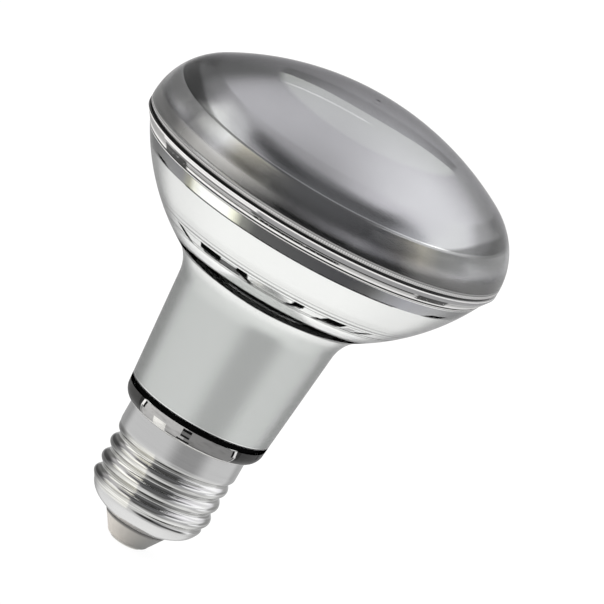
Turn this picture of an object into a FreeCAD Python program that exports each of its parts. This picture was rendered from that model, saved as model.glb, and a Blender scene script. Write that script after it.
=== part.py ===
import FreeCAD
import Part
import Sketcher
import math
import os
from types import SimpleNamespace

# Reflector bulb: an R80 LED lamp with an E27 screw cap.
# Millimetres, +Z from the cap to the front lens, origin at the end face of the centre contact.

SIZES = {
    # Screw cap
    "contact_lip": 0.35,
    "contact_radius": 3.5,
    "contact_shank": 1.3,
    "contact_wall": 0.45,
    "insulator_rise": 4.6,
    "insulator_foot_radius": 4.35,
    "insulator_top_radius": 6.95,
    "insulator_edge": 0.9,
    "insulator_round": 1.35,
    "insulator_flare": 0.3,
    "insulator_flange": 8.6,
    "shell_opening": 7.1,
    "shell_wall": 0.3,
    "skirt_rise": 4.6,
    "skirt_radius": 12.35,
    "skirt_bulge": 0.75,
    "thread_length": 13.0,
    "thread_radius": 13.05,
    "thread_depth": 1.1,
    "thread_pitch": 3.629,
    "thread_phase": -1.05,
    "thread_lead": 0.9,
    "thread_run_in": 2.0,
    "thread_run_out": 2.18,
    "crest_flat": 0.066,
    "skirt_blend": 1.63,
    "collar_blend": 2.0,
    "collar_length": 4.5,
    "collar_radius": 13.15,
    # Glass bowl and neck
    "neck_gap": 0.3,
    "neck_lip": 0.35,
    "neck_curl": 2.8,
    "neck_radius": 15.55,
    "neck_taper": 5.0,
    "neck_fillet": 9.0,
    "glass_wall": 1.5,
    "bowl_height": 53.0,
    "bowl_radius": 47.0,
    "bowl_rim_radius": 38.5,
    "bowl_rim_slope": 26.0,
    "flange_rise": 2.1,
    "flange_edge": 0.55,
    # Seam and front lens
    "seam_bead": 0.3,
    "seam_width": 2.0,
    "flange_reach": 1.5,
    "lens_wall": 1.6,
    "lens_edge": 0.4,
    "crown_wall": 1.6,
    "shoulder_rise": 1.0,
    "shoulder_radius": 14.4,
    "crease_inset": 7.0,
    "crease_rise": 11.92,
    "dome_rise": 9.18,
    "step_inset": 5.3,
    "step_rise": 5.9,
    "step_hollow": 60.0,
    "vault_inset": 9.5,
    "vault_rise": 10.3,
    "vault_radius": 18.0,
    "pip_radius": 0.7,
    "pip_rise": 0.25,
    # Driver housing
    "fit_gap": 0.2,
    "housing_wall": 1.2,
    "nose_end": 10.3,
    "nose_length": 11.9,
    "latch_gap": 0.3,
    "latch_height": 1.9,
    "latch_reach": 0.6,
    "latch_slot_angle": 7.0,
    "latch_count": 4,
    "groove_height": 1.0,
    "groove_depth": 0.9,
    "key_angle": 8.0,
    "key_height": 1.2,
    "key_reach": 0.12,
    "barrel_step": 0.2,
    "barrel_length": 28.4,
    "ledge_height": 1.6,
    # Light engine
    "sink_wall": 1.0,
    "sink_skirt": 15.0,
    "sink_plate": 1.6,
    "sink_gap": 0.5,
    "sink_rim": 0.8,
    "sink_port": 2.6,
    "pad_thickness": 0.3,
    "led_board_thickness": 1.6,
    "chip_length": 3.5,
    "chip_width": 2.8,
    "chip_height": 0.8,
    "chip_ring": 12.4,
    "chip_count": 12,
    "screw_ring": 6.4,
    "screw_turn": 30.0,
    "screw_count": 3,
    "screw_radius": 1.5,
    "screw_length": 4.6,
    "screw_head_radius": 2.8,
    "screw_head_height": 1.7,
    "screw_slot": 0.6,
    # Driver
    "board_setback": 4.6,
    "board_thickness": 1.2,
    "board_gap": 0.5,
    "board_tail_length": 15.0,
    "board_length": 25.0,
    "bulk_radius": 4.0,
    "bulk_length": 14.0,
    "bulk_offset": 3.9,
    "output_radius": 4.0,
    "output_length": 10.0,
    "output_offset": 5.2,
    "can_edge": 0.5,
    "can_crimp": 0.35,
    "crimp_height": 1.5,
    "film_width": 4.2,
    "film_depth": 6.0,
    "film_height": 8.0,
    "film_offset": 1.2,
    "core_width": 13.0,
    "core_height": 11.0,
    "core_depth": 6.2,
    "core_leg": 2.6,
    "bobbin_wall": 0.5,
    "bobbin_flange": 1.6,
    "winding_wall": 1.3,
    "choke_radius": 3.0,
    "choke_length": 6.0,
    "choke_flange": 1.0,
    "choke_waist": 1.1,
    "bridge_width": 4.7,
    "bridge_height": 4.0,
    "bridge_depth": 1.5,
    "control_width": 4.9,
    "control_height": 6.0,
    "control_depth": 1.4,
    "fuse_radius": 1.2,
    "fuse_length": 6.0,
    "fuse_offset": 7.0,
    "wire_radius": 0.65,
    "wire_bend": 2.0,
    "wire_tail": 3.0,
    "neutral_offset": 5.0,
}

# The cap's skins run through this many points about the axis and along a turn of the thread,
# and close on themselves at the back of the lamp, a quarter turn from its right.
COLUMNS = 24
ROWS_PER_TURN = 8
SKIRT_ROWS = 8
SEAM_TURN = 0.25

DOC = FreeCAD.newDocument("ReflectorBulb")
SUB_PARTS = []


class Size:
    """A length or angle that knows its number and the sheet formula that gives it."""

    def __init__(self, number, formula):
        self.number = float(number)
        self.formula = formula

    def __add__(self, other):
        other = as_size(other)
        return Size(self.number + other.number, f"({self.formula} + {other.formula})")

    def __radd__(self, other):
        return as_size(other) + self

    def __sub__(self, other):
        other = as_size(other)
        return Size(self.number - other.number, f"({self.formula} - {other.formula})")

    def __rsub__(self, other):
        return as_size(other) - self

    def __mul__(self, other):
        other = as_size(other)
        return Size(self.number * other.number, f"({self.formula} * {other.formula})")

    def __rmul__(self, other):
        return as_size(other) * self

    def __truediv__(self, other):
        other = as_size(other)
        return Size(self.number / other.number, f"({self.formula} / {other.formula})")

    def __neg__(self):
        return Size(-self.number, f"(0 - {self.formula})")


def as_size(value):
    """A plain number becomes a size; a size stays what it is."""
    if isinstance(value, Size):
        return value
    return Size(value, f"({float(value)!r})")


def cosine(angle):
    """Cosine of an angle in degrees."""
    angle = as_size(angle)
    return Size(math.cos(math.radians(angle.number)), f"cos({angle.formula})")


def sine(angle):
    """Sine of an angle in degrees."""
    angle = as_size(angle)
    return Size(math.sin(math.radians(angle.number)), f"sin({angle.formula})")


def root(value):
    """Square root."""
    return Size(math.sqrt(value.number), f"sqrt({value.formula})")


def chord(radius, offset):
    """Width across a round bore at an offset from its middle."""
    return 2 * root(radius * radius - offset * offset)


def make_sheet():
    """The driving dimensions as a sheet; returns them as sizes by name."""
    sheet = DOC.addObject("Spreadsheet::Sheet", "Sizes")
    sheet.set("A1", "Size")
    sheet.set("B1", "Value")
    named = {}
    for row, (alias, number) in enumerate(SIZES.items(), start=2):
        sheet.set(f"A{row}", alias)
        sheet.set(f"B{row}", str(number))
        sheet.setAlias(f"B{row}", alias)
        named[alias] = Size(number, f"Sizes.{alias}")
    DOC.recompute()
    return SimpleNamespace(**named)


S = make_sheet()


# Heights along the lamp, each built on the one below it
OPENING_Z = S.insulator_rise + S.contact_lip
SKIRT_Z = OPENING_Z + S.skirt_rise
COLLAR_Z = SKIRT_Z + S.thread_length
SHELL_Z = COLLAR_Z + S.collar_length
NECK_END_Z = SHELL_Z + S.neck_gap
NECK_Z = NECK_END_Z + S.neck_curl
RIM_Z = NECK_END_Z + S.bowl_height
SEAM_Z = RIM_Z + S.flange_rise + S.flange_edge
LENS_Z = SEAM_Z + S.seam_bead
SHOULDER_Z = LENS_Z + S.shoulder_rise
CREASE_Z = SHOULDER_Z + S.crease_rise
APEX_Z = CREASE_Z + S.dome_rise
LENS_RADIUS = S.bowl_rim_radius + S.flange_reach
NECK_OPENING = S.collar_radius + S.neck_lip
LATCH_Z = NECK_END_Z + S.glass_wall + S.latch_gap
GROOVE_Z = LATCH_Z + S.latch_height
BARREL_Z = GROOVE_Z + S.groove_height
SINK_Z = BARREL_Z + S.barrel_length
PAD_Z = SINK_Z + S.sink_plate
LED_BOARD_Z = PAD_Z + S.pad_thickness
CHIP_Z = LED_BOARD_Z + S.led_board_thickness
NECK_BORE_AT_SINK = (
    S.neck_radius
    - S.glass_wall / cosine(S.neck_taper)
    + (SINK_Z - NECK_Z) * sine(S.neck_taper) / cosine(S.neck_taper)
)
SINK_RADIUS = NECK_BORE_AT_SINK - S.sink_gap
LED_BOARD_RADIUS = SINK_RADIUS - S.sink_rim
THROAT = S.shell_opening - S.fit_gap
INSIDE_Z = OPENING_Z + S.shell_wall * 2
INSULATOR_LIFT = (S.insulator_flange - THROAT) * S.skirt_rise / (S.skirt_radius - S.shell_opening)
INSULATOR_TOP_Z = INSIDE_Z + INSULATOR_LIFT + S.insulator_edge
NOSE_RADIUS = S.thread_radius - S.thread_depth - S.shell_wall - S.fit_gap
NOSE_BORE = NOSE_RADIUS - S.housing_wall
BARREL_RADIUS = NECK_OPENING + S.barrel_step
BARREL_BORE = BARREL_RADIUS - S.housing_wall
LEDGE_Z = BARREL_Z - S.ledge_height
BOARD_TAIL_Z = LEDGE_Z + S.fit_gap - S.board_tail_length
BOARD_TOP_Z = LEDGE_Z + S.fit_gap + S.board_length
BOARD_FACE_Y = -S.board_setback
BOARD_BACK_Y = BOARD_FACE_Y - S.board_thickness
BOARD_WIDTH = chord(BARREL_BORE - S.board_gap, BOARD_BACK_Y)
BOARD_TAIL_WIDTH = chord(NOSE_BORE - S.fit_gap, BOARD_BACK_Y)
FUSE_Z = BOARD_TAIL_Z + S.wire_bend


def keep(feature, label):
    """Records a finished sub-part under its own label."""
    feature.Label = label
    SUB_PARTS.append(feature)
    return feature


def bind(feature, **formulas):
    """Ties properties of a feature to sizes; a double underscore stands for a dot."""
    for name, size in formulas.items():
        feature.setExpression(name.replace("__", "."), as_size(size).formula)


def place(feature, x=0, y=0, z=0):
    """Ties a feature's position to sizes."""
    bind(feature, Placement__Base__x=x, Placement__Base__y=y, Placement__Base__z=z)
    return feature


def make_body(name):
    return DOC.addObject("PartDesign::Body", name)


def origin_plane(body, role):
    """One of the body's own origin planes."""
    for feature in body.Origin.OriginFeatures:
        if feature.Role == role:
            return feature
    raise ValueError(f"no plane {role}")


def make_sketch(body, name, role, turn=0):
    """A sketch on an origin plane, turned about the lamp's axis where asked."""
    sketch = body.newObject("Sketcher::SketchObject", name)
    sketch.AttachmentSupport = [(origin_plane(body, role), "")]
    sketch.MapMode = "FlatFace"
    if turn:
        sketch.AttachmentOffset = FreeCAD.Placement(
            FreeCAD.Vector(), FreeCAD.Rotation(FreeCAD.Vector(0, 1, 0), turn)
        )
    return sketch


def bow(start, end, radius):
    """The arc from start to end; a positive radius has its centre left of the way."""
    run = end - start
    half = run.Length / 2
    rise = math.sqrt(max(radius * radius - half * half, 0.0))
    left = FreeCAD.Vector(-run.y, run.x, 0).normalize()
    centre = (start + end) / 2 + left * math.copysign(rise, radius)
    first, last = (start, end) if radius > 0 else (end, start)
    angles = [math.atan2(point.y - centre.y, point.x - centre.x) for point in (first, last)]
    if angles[1] < angles[0]:
        angles[1] += 2 * math.pi
    circle = Part.Circle(centre, FreeCAD.Vector(0, 0, 1), abs(radius))
    return Part.ArcOfCircle(circle, angles[0], angles[1])


def fix_point(sketch, edge, end, axis, size):
    """Ties one coordinate of a sketch point to a size."""
    if size.number == 0:
        line = -2 if axis == "x" else -1
        sketch.addConstraint(Sketcher.Constraint("PointOnObject", edge, end, line))
        return
    kind = "DistanceX" if axis == "x" else "DistanceY"
    index = sketch.addConstraint(Sketcher.Constraint(kind, -1, 1, edge, end, size.number))
    name = f"{axis}_of_corner_{edge}"
    sketch.renameConstraint(index, name)
    sketch.setExpression(f"Constraints.{name}", size.formula)


def draw(sketch, corners):
    """A closed outline of corners (x, y) or (x, y, radius of the arc to the next corner)."""
    corners = [tuple(as_size(value) for value in corner) for corner in corners]
    points = [FreeCAD.Vector(corner[0].number, corner[1].number, 0) for corner in corners]
    starts = []
    ends = []
    for index, corner in enumerate(corners):
        start = points[index]
        end = points[(index + 1) % len(points)]
        forward = len(corner) == 2 or corner[2].number > 0
        if len(corner) == 2:
            sketch.addGeometry(Part.LineSegment(start, end), False)
        else:
            sketch.addGeometry(bow(start, end, corner[2].number), False)
        starts.append(1 if forward else 2)
        ends.append(2 if forward else 1)
    for index, corner in enumerate(corners):
        before = index - 1 if index else len(corners) - 1
        sketch.addConstraint(
            Sketcher.Constraint("Coincident", before, ends[before], index, starts[index])
        )
        fix_point(sketch, index, starts[index], "x", corner[0])
        fix_point(sketch, index, starts[index], "y", corner[1])
    for index, corner in enumerate(corners):
        if len(corner) == 3:
            size = corner[2] if corner[2].number > 0 else -corner[2]
            row = sketch.addConstraint(Sketcher.Constraint("Radius", index, size.number))
            sketch.renameConstraint(row, f"radius_{index}")
            sketch.setExpression(f"Constraints.radius_{index}", size.formula)
    return sketch


def revolve(body, name, corners, angle=360, turn=0, cut=False):
    """Turns an outline of (radius, height) corners about the body's vertical axis."""
    sketch = draw(make_sketch(body, f"{name}_outline", "XZ_Plane", turn), corners)
    kind = "PartDesign::Groove" if cut else "PartDesign::Revolution"
    feature = body.newObject(kind, name)
    feature.Profile = sketch
    feature.ReferenceAxis = (sketch, ["V_Axis"])
    if isinstance(angle, Size):
        feature.Midplane = True
        bind(feature, Angle=angle)
    else:
        feature.Angle = angle
    sketch.Visibility = False
    return feature


def lathe(label, corners):
    """A sub-part turned from one outline."""
    body = make_body(label)
    revolve(body, f"{label}_turning", corners)
    return keep(body, label)


def repeat_round(body, feature, count):
    """Repeats a feature evenly about the body's vertical axis."""
    pattern = body.newObject("PartDesign::PolarPattern", f"{feature.Name}_pattern")
    pattern.Originals = [feature]
    axis = [item for item in body.Origin.OriginFeatures if item.Role == "Z_Axis"][0]
    pattern.Axis = (axis, [""])
    pattern.Angle = 360
    bind(pattern, Occurrences=count)
    body.Tip = pattern
    return pattern


def block(name, length, width, height, x, y, z):
    """A rectangular block with its lowest corner at x, y, z."""
    box = DOC.addObject("Part::Box", name)
    bind(box, Length=length, Width=width, Height=height)
    return place(box, x, y, z)


def joined(kind, name, parts):
    """A boolean of the named kind over several solids."""
    feature = DOC.addObject(kind, name)
    if kind == "Part::Cut":
        feature.Base, feature.Tool = parts
    else:
        feature.Shapes = parts
    feature.Refine = True
    return feature


def group(label, solids):
    """Separate solids of one kind that share a sub-part."""
    feature = DOC.addObject("Part::Compound", label)
    feature.Links = solids
    return keep(feature, label)


def glass_centres():
    """Centres of the bowl arc and of the fillet that leads it into the neck cone."""
    bowl_r = S.bowl_rim_radius - S.bowl_radius * cosine(S.bowl_rim_slope)
    bowl_z = RIM_Z + S.bowl_radius * sine(S.bowl_rim_slope)
    along_r = sine(S.neck_taper)
    along_z = cosine(S.neck_taper)
    # The fillet's centre lies on the cone line moved out by the fillet, and one
    # bowl radius plus one fillet radius from the bowl's centre.
    line_r = S.neck_radius + S.neck_fillet * along_z - bowl_r
    line_z = NECK_Z - S.neck_fillet * along_r - bowl_z
    reach = S.bowl_radius + S.neck_fillet
    toward = line_r * along_r + line_z * along_z
    run = -toward - root(toward * toward - line_r * line_r - line_z * line_z + reach * reach)
    fillet_r = line_r + bowl_r + run * along_r
    fillet_z = line_z + bowl_z + run * along_z
    return (bowl_r, bowl_z), (fillet_r, fillet_z)


BOWL_CENTRE, FILLET_CENTRE = glass_centres()


def glass_side(depth):
    """Where the fillet starts on the neck and ends on the bowl, depth below the outer skin."""
    radius = S.neck_fillet + depth
    neck = (
        FILLET_CENTRE[0] - radius * cosine(S.neck_taper),
        FILLET_CENTRE[1] + radius * sine(S.neck_taper),
    )
    share = (S.bowl_radius - depth) / (S.bowl_radius + S.neck_fillet)
    foot = (
        BOWL_CENTRE[0] + (FILLET_CENTRE[0] - BOWL_CENTRE[0]) * share,
        BOWL_CENTRE[1] + (FILLET_CENTRE[1] - BOWL_CENTRE[1]) * share,
    )
    return neck, foot


def reflector_glass():
    """Bowl and neck: one glass wall with a curled neck end and a flared rim flange."""
    wall = S.glass_wall
    neck_outer, foot_outer = glass_side(as_size(0))
    neck_inner, foot_inner = glass_side(wall)
    curl_drop = wall * sine(S.neck_taper)
    rim_inner_r = BOWL_CENTRE[0] + (S.bowl_radius - wall) * cosine(S.bowl_rim_slope)
    rim_inner_z = BOWL_CENTRE[1] - (S.bowl_radius - wall) * sine(S.bowl_rim_slope)
    return lathe(
        "reflector_glass",
        [
            (NECK_OPENING, NECK_END_Z),
            (NECK_OPENING + S.neck_lip, NECK_END_Z, S.neck_curl + S.neck_lip),
            (S.neck_radius, NECK_Z),
            (*neck_outer, -S.neck_fillet),
            (*foot_outer, S.bowl_radius),
            (S.bowl_rim_radius, RIM_Z),
            (LENS_RADIUS, RIM_Z + S.flange_rise),
            (LENS_RADIUS, SEAM_Z),
            (rim_inner_r, SEAM_Z),
            (rim_inner_r, rim_inner_z, wall - S.bowl_radius),
            (*foot_inner, S.neck_fillet + wall),
            neck_inner,
            (S.neck_radius - wall, NECK_Z + curl_drop, wall - S.neck_curl),
            (NECK_OPENING, NECK_END_Z + wall),
        ],
    )


def cap_radius(reach, rise):
    """Radius of the arc that rises from a reach beside the axis to its top on the axis."""
    return (reach * reach + rise * rise) / (2 * rise)


def front_lens():
    """Pressed front: outside its shoulder runs into the dome, inside a step meets a vault."""
    crease_r = LENS_RADIUS - S.crease_inset
    dome_radius = cap_radius(crease_r, S.dome_rise)
    pip_height = root(dome_radius * dome_radius - S.pip_radius * S.pip_radius)
    vault_r = LENS_RADIUS - S.vault_inset
    vault_z = SHOULDER_Z + S.vault_rise
    vault_top = APEX_Z - S.crown_wall
    return lathe(
        "front_lens",
        [
            (LENS_RADIUS - S.lens_wall, LENS_Z),
            (LENS_RADIUS - S.lens_edge, LENS_Z),
            (LENS_RADIUS, LENS_Z + S.lens_edge),
            (LENS_RADIUS, SHOULDER_Z, S.shoulder_radius),
            (crease_r, CREASE_Z, dome_radius),
            (S.pip_radius, APEX_Z - dome_radius + pip_height),
            (as_size(0), APEX_Z + S.pip_rise),
            (as_size(0), vault_top, -cap_radius(vault_r, vault_top - vault_z)),
            (vault_r, vault_z, -S.vault_radius),
            (LENS_RADIUS - S.step_inset, SHOULDER_Z + S.step_rise, S.step_hollow),
            (LENS_RADIUS - S.lens_wall, SHOULDER_Z),
        ],
    )


def seam_adhesive():
    """Flat bead that joins the lens to the bowl's flange."""
    outer = LENS_RADIUS - S.lens_edge
    return lathe(
        "seam_adhesive",
        [
            (outer - S.seam_width + S.lens_edge, SEAM_Z),
            (outer, SEAM_Z),
            (outer, LENS_Z),
            (outer - S.seam_width + S.lens_edge, LENS_Z),
        ],
    )


def ease(share):
    """Smooth step from 0 to 1."""
    share = min(max(share, 0.0), 1.0)
    return share * share * (3 - 2 * share)


def shell_outline():
    """Radius and height along the cap's unthreaded shell, from its opening up to its top edge."""
    opening = FreeCAD.Vector(S.shell_opening.number, OPENING_Z.number, 0)
    shoulder = FreeCAD.Vector(S.skirt_radius.number, SKIRT_Z.number, 0)
    run = shoulder - opening
    out = FreeCAD.Vector(run.y, -run.x, 0).normalize()
    rows = []
    for step in range(SKIRT_ROWS):
        share = step / SKIRT_ROWS
        # The skirt bulges more towards the thread than towards the opening.
        bulge = S.skirt_bulge.number * math.sin(math.pi * share) * (share + 0.5)
        rows.append(opening + run * share + out * bulge)
    mean = S.thread_radius.number - S.thread_depth.number / 2
    height = SHELL_Z.number - SKIRT_Z.number
    count = round(height / S.thread_pitch.number * ROWS_PER_TURN)
    for step in range(count + 1):
        z = SKIRT_Z.number + height * step / count
        low = ease((z - SKIRT_Z.number) / S.skirt_blend.number)
        high = ease((z - COLLAR_Z.number) / S.collar_blend.number + 1)
        radius = S.skirt_radius.number + (mean - S.skirt_radius.number) * low
        radius += (S.collar_radius.number - mean) * high
        rows.append(FreeCAD.Vector(radius, z, 0))
    return rows


def thread_wave(z, turn):
    """How far the rolled thread stands out of the shell at a height and a share of a turn."""
    rise = z - SKIRT_Z.number
    phase = 2 * math.pi * ((rise - S.thread_phase.number) / S.thread_pitch.number - turn)
    wave = S.thread_depth.number / 2 * math.cos(phase) - S.crest_flat.number * math.cos(2 * phase)
    start = ease((rise + S.thread_lead.number) / S.thread_run_in.number)
    finish = ease((COLLAR_Z.number - z) / S.thread_run_out.number)
    return wave * start * finish


def shell_skin(rows, inset):
    """Smooth skin through the threaded rows, moved inwards by the wall where asked."""
    grid = []
    for row_index, row in enumerate(rows):
        before = rows[max(row_index - 1, 0)]
        after = rows[min(row_index + 1, len(rows) - 1)]
        run = (after - before).normalize()
        base_r = row.x - inset * run.y
        base_z = row.y + inset * run.x
        ring = []
        for column in range(COLUMNS):
            turn = SEAM_TURN + column / COLUMNS
            radius = base_r + thread_wave(row.y, turn)
            angle = 2 * math.pi * turn
            ring.append(FreeCAD.Vector(radius * math.cos(angle), radius * math.sin(angle), base_z))
        grid.append(ring + ring[:1])
    skin = Part.BSplineSurface()
    skin.interpolate(grid)
    return skin.toShape()


def round_edges(face):
    """The closed edges at the foot and the top of a skin."""
    closed = [edge for edge in face.Edges if edge.isClosed()]
    closed.sort(key=lambda edge: edge.CenterOfMass.z)
    return closed[0], closed[-1]


def cap_shell():
    """Rolled screw shell: one thin wall with the knuckle thread on both of its faces."""
    rows = shell_outline()
    outer = shell_skin(rows, 0.0)
    inner = shell_skin(rows, S.shell_wall.number)
    outer_low, outer_high = round_edges(outer)
    inner_low, inner_high = round_edges(inner)
    foot = Part.makeRuledSurface(outer_low, inner_low)
    top = Part.makeRuledSurface(outer_high, inner_high)
    shell = Part.Shell([outer, inner, foot, top])
    shell.sewShape()
    solid = Part.Solid(shell)
    if solid.Volume < 0:
        solid.reverse()
    feature = DOC.addObject("Part::Feature", "cap_shell")
    feature.Shape = solid
    feature.Placement = FreeCAD.Placement()
    return keep(feature, "cap_shell")


def cap_insulator():
    """Moulded cone in the shell's opening, with a flange inside and a bore for the rivet."""
    return lathe(
        "cap_insulator",
        [
            (S.contact_shank, S.contact_lip),
            (S.insulator_foot_radius - S.insulator_edge, S.contact_lip, S.insulator_round),
            (S.insulator_foot_radius + S.insulator_flare, S.contact_lip + S.insulator_edge),
            (S.insulator_top_radius, OPENING_Z - S.fit_gap),
            (THROAT, OPENING_Z - S.fit_gap),
            (THROAT, INSIDE_Z),
            (S.insulator_flange, INSIDE_Z + INSULATOR_LIFT),
            (S.insulator_flange, INSULATOR_TOP_Z),
            (S.contact_shank, INSULATOR_TOP_Z),
        ],
    )


def centre_contact():
    """Hollow rivet: a shallow domed head below the insulator and a shank rolled over inside."""
    shank = S.contact_shank
    bore = shank - S.contact_wall
    lip = S.contact_lip
    return lathe(
        "centre_contact",
        [
            (as_size(0), as_size(0)),
            (S.contact_radius - lip, as_size(0), lip),
            (S.contact_radius, lip),
            (shank, lip),
            (shank, INSULATOR_TOP_Z),
            (shank + lip * 2, INSULATOR_TOP_Z),
            (shank + lip * 2, INSULATOR_TOP_Z + lip),
            (bore, INSULATOR_TOP_Z + lip),
            (bore, lip * 2),
            (as_size(0), lip * 2),
        ],
    )


def driver_housing():
    """Stepped plastic tube: nose in the screw shell, latch ring behind the glass lip, barrel."""
    collar = S.collar_radius - S.shell_wall - S.fit_gap
    collar_z = COLLAR_Z + S.fit_gap
    seat_r = NECK_OPENING - S.latch_gap
    latch_r = seat_r + S.latch_reach
    groove_r = BARREL_RADIUS - S.groove_depth
    body = make_body("driver_housing")
    revolve(
        body,
        "driver_housing_turning",
        [
            (NOSE_BORE, S.nose_end),
            (NOSE_RADIUS, S.nose_end),
            (NOSE_RADIUS, S.nose_end + S.nose_length - S.fit_gap),
            (collar, collar_z),
            (collar, SHELL_Z),
            (seat_r, SHELL_Z),
            (seat_r, LATCH_Z),
            (latch_r, LATCH_Z),
            (latch_r, GROOVE_Z),
            (groove_r, GROOVE_Z),
            (groove_r, BARREL_Z),
            (BARREL_RADIUS, BARREL_Z),
            (BARREL_RADIUS, SINK_Z),
            (BARREL_BORE, SINK_Z),
            (BARREL_BORE, LEDGE_Z),
            (NOSE_BORE, LEDGE_Z),
        ],
    )
    DOC.recompute()
    slot = revolve(
        body,
        "latch_slot",
        [
            (NOSE_BORE + S.housing_wall, LATCH_Z - S.latch_gap),
            (latch_r + S.fit_gap, LATCH_Z - S.latch_gap),
            (latch_r + S.fit_gap, GROOVE_Z + S.fit_gap),
            (NOSE_BORE + S.housing_wall, GROOVE_Z + S.fit_gap),
        ],
        angle=S.latch_slot_angle,
        turn=180 / S.latch_count.number,
        cut=True,
    )
    body.Tip = slot
    DOC.recompute()
    repeat_round(body, slot, S.latch_count)
    DOC.recompute()
    key_z = LATCH_Z + (S.latch_height - S.key_height) / 2
    key = revolve(
        body,
        "latch_key",
        [
            (latch_r - S.latch_reach, key_z),
            (latch_r + S.key_reach, key_z),
            (latch_r + S.key_reach, key_z + S.key_height),
            (latch_r - S.latch_reach, key_z + S.key_height),
        ],
        angle=S.key_angle,
    )
    body.Tip = key
    DOC.recompute()
    repeat_round(body, key, S.latch_count)
    return keep(body, "driver_housing")


def heat_sink():
    """Drawn aluminium cup over the barrel, with a wider plate that carries the LED board."""
    skirt_bore = BARREL_RADIUS + S.fit_gap
    return lathe(
        "heat_sink",
        [
            (skirt_bore, SINK_Z - S.sink_skirt),
            (skirt_bore + S.sink_wall, SINK_Z - S.sink_skirt),
            (skirt_bore + S.sink_wall, SINK_Z),
            (SINK_RADIUS, SINK_Z),
            (SINK_RADIUS, PAD_Z),
            (S.sink_port, PAD_Z),
            (S.sink_port, SINK_Z),
            (skirt_bore, SINK_Z),
        ],
    )


def disc(label, radius, bore, low, high):
    """A flat ring between two heights."""
    return lathe(label, [(bore, low), (radius, low), (radius, high), (bore, high)])


def led_chips():
    """Light-emitting chips on one ring of the board."""
    chips = []
    count = round(S.chip_count.number)
    for index in range(count):
        angle = 360.0 * index / count
        chip = block(
            f"chip_{index}",
            S.chip_length,
            S.chip_width,
            S.chip_height,
            S.chip_ring * cosine(angle)
            - S.chip_length / 2 * cosine(angle)
            + S.chip_width / 2 * sine(angle),
            S.chip_ring * sine(angle)
            - S.chip_length / 2 * sine(angle)
            - S.chip_width / 2 * cosine(angle),
            CHIP_Z,
        )
        chip.Placement.Rotation = FreeCAD.Rotation(FreeCAD.Vector(0, 0, 1), angle)
        chips.append(chip)
    return group("led_chips", chips)


def led_board_screws():
    """Slotted screws that clamp board and pad to the heat sink."""
    screws = []
    count = round(S.screw_count.number)
    for index in range(count):
        angle = S.screw_turn + 360.0 * index / count
        x = S.screw_ring * cosine(angle)
        y = S.screw_ring * sine(angle)
        head = DOC.addObject("Part::Cylinder", f"screw_head_{index}")
        bind(head, Radius=S.screw_head_radius, Height=S.screw_head_height)
        place(head, x, y, CHIP_Z)
        shank = DOC.addObject("Part::Cylinder", f"screw_shank_{index}")
        bind(shank, Radius=S.screw_radius, Height=S.screw_length)
        place(shank, x, y, CHIP_Z - S.screw_length)
        slot = block(
            f"screw_slot_{index}",
            S.screw_head_radius * 2,
            S.screw_slot,
            S.screw_head_height,
            x - S.screw_head_radius,
            y - S.screw_slot / 2,
            CHIP_Z + S.screw_head_height / 2,
        )
        screw = joined("Part::MultiFuse", f"screw_solid_{index}", [head, shank])
        screws.append(joined("Part::Cut", f"screw_{index}", [screw, slot]))
    return group("led_board_screws", screws)


def drilled(label, carrier, low, high):
    """Cuts the screw holes through a disc that the screws pass."""
    count = round(S.screw_count.number)
    holes = []
    for index in range(count):
        angle = S.screw_turn + 360.0 * index / count
        hole = DOC.addObject("Part::Cylinder", f"{label}_hole_{index}")
        bind(hole, Radius=S.screw_radius, Height=high - low + 2 * S.fit_gap)
        x = S.screw_ring * cosine(angle)
        y = S.screw_ring * sine(angle)
        place(hole, x, y, low - S.fit_gap)
        holes.append(hole)
    tool = joined("Part::MultiFuse", f"{label}_holes", holes)
    SUB_PARTS.remove(carrier)
    carrier.Label = f"{label}_blank"
    return keep(joined("Part::Cut", label, [carrier, tool]), label)


def driver_board():
    """T-shaped circuit board: its shoulders rest on the housing's ledge, its tail is in the nose."""
    tail = block(
        "board_tail",
        BOARD_TAIL_WIDTH,
        S.board_thickness,
        S.board_tail_length,
        -BOARD_TAIL_WIDTH / 2,
        BOARD_BACK_Y,
        BOARD_TAIL_Z,
    )
    head = block(
        "board_head",
        BOARD_WIDTH,
        S.board_thickness,
        S.board_length,
        -BOARD_WIDTH / 2,
        BOARD_BACK_Y,
        LEDGE_Z + S.fit_gap,
    )
    return keep(joined("Part::MultiFuse", "driver_board", [tail, head]), "driver_board")


def can(label, radius, length, x, z):
    """Capacitor can with rounded ends and a crimp groove, lying on the board's face."""
    edge = S.can_edge
    crimp = S.can_crimp
    body = lathe(
        label,
        [
            (as_size(0), as_size(0)),
            (radius - edge, as_size(0), edge),
            (radius, edge),
            (radius, S.crimp_height),
            (radius - crimp, S.crimp_height + crimp),
            (radius, S.crimp_height + crimp * 2),
            (radius, length - edge, edge),
            (radius - edge, length),
            (as_size(0), length),
        ],
    )
    return place(body, x, BOARD_FACE_Y + radius, z)


def sleeve(name, width, depth, height, bore_width, bore_depth, x, y, z):
    """A rectangular tube along the lamp, with its bore in the middle of the blank."""
    blank = block(f"{name}_blank", width, depth, height, x, y, z)
    bore = block(
        f"{name}_bore",
        bore_width,
        bore_depth,
        height + 2 * S.fit_gap,
        x + (width - bore_width) / 2,
        y + (depth - bore_depth) / 2,
        z - S.fit_gap,
    )
    return joined("Part::Cut", name, [blank, bore])


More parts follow.
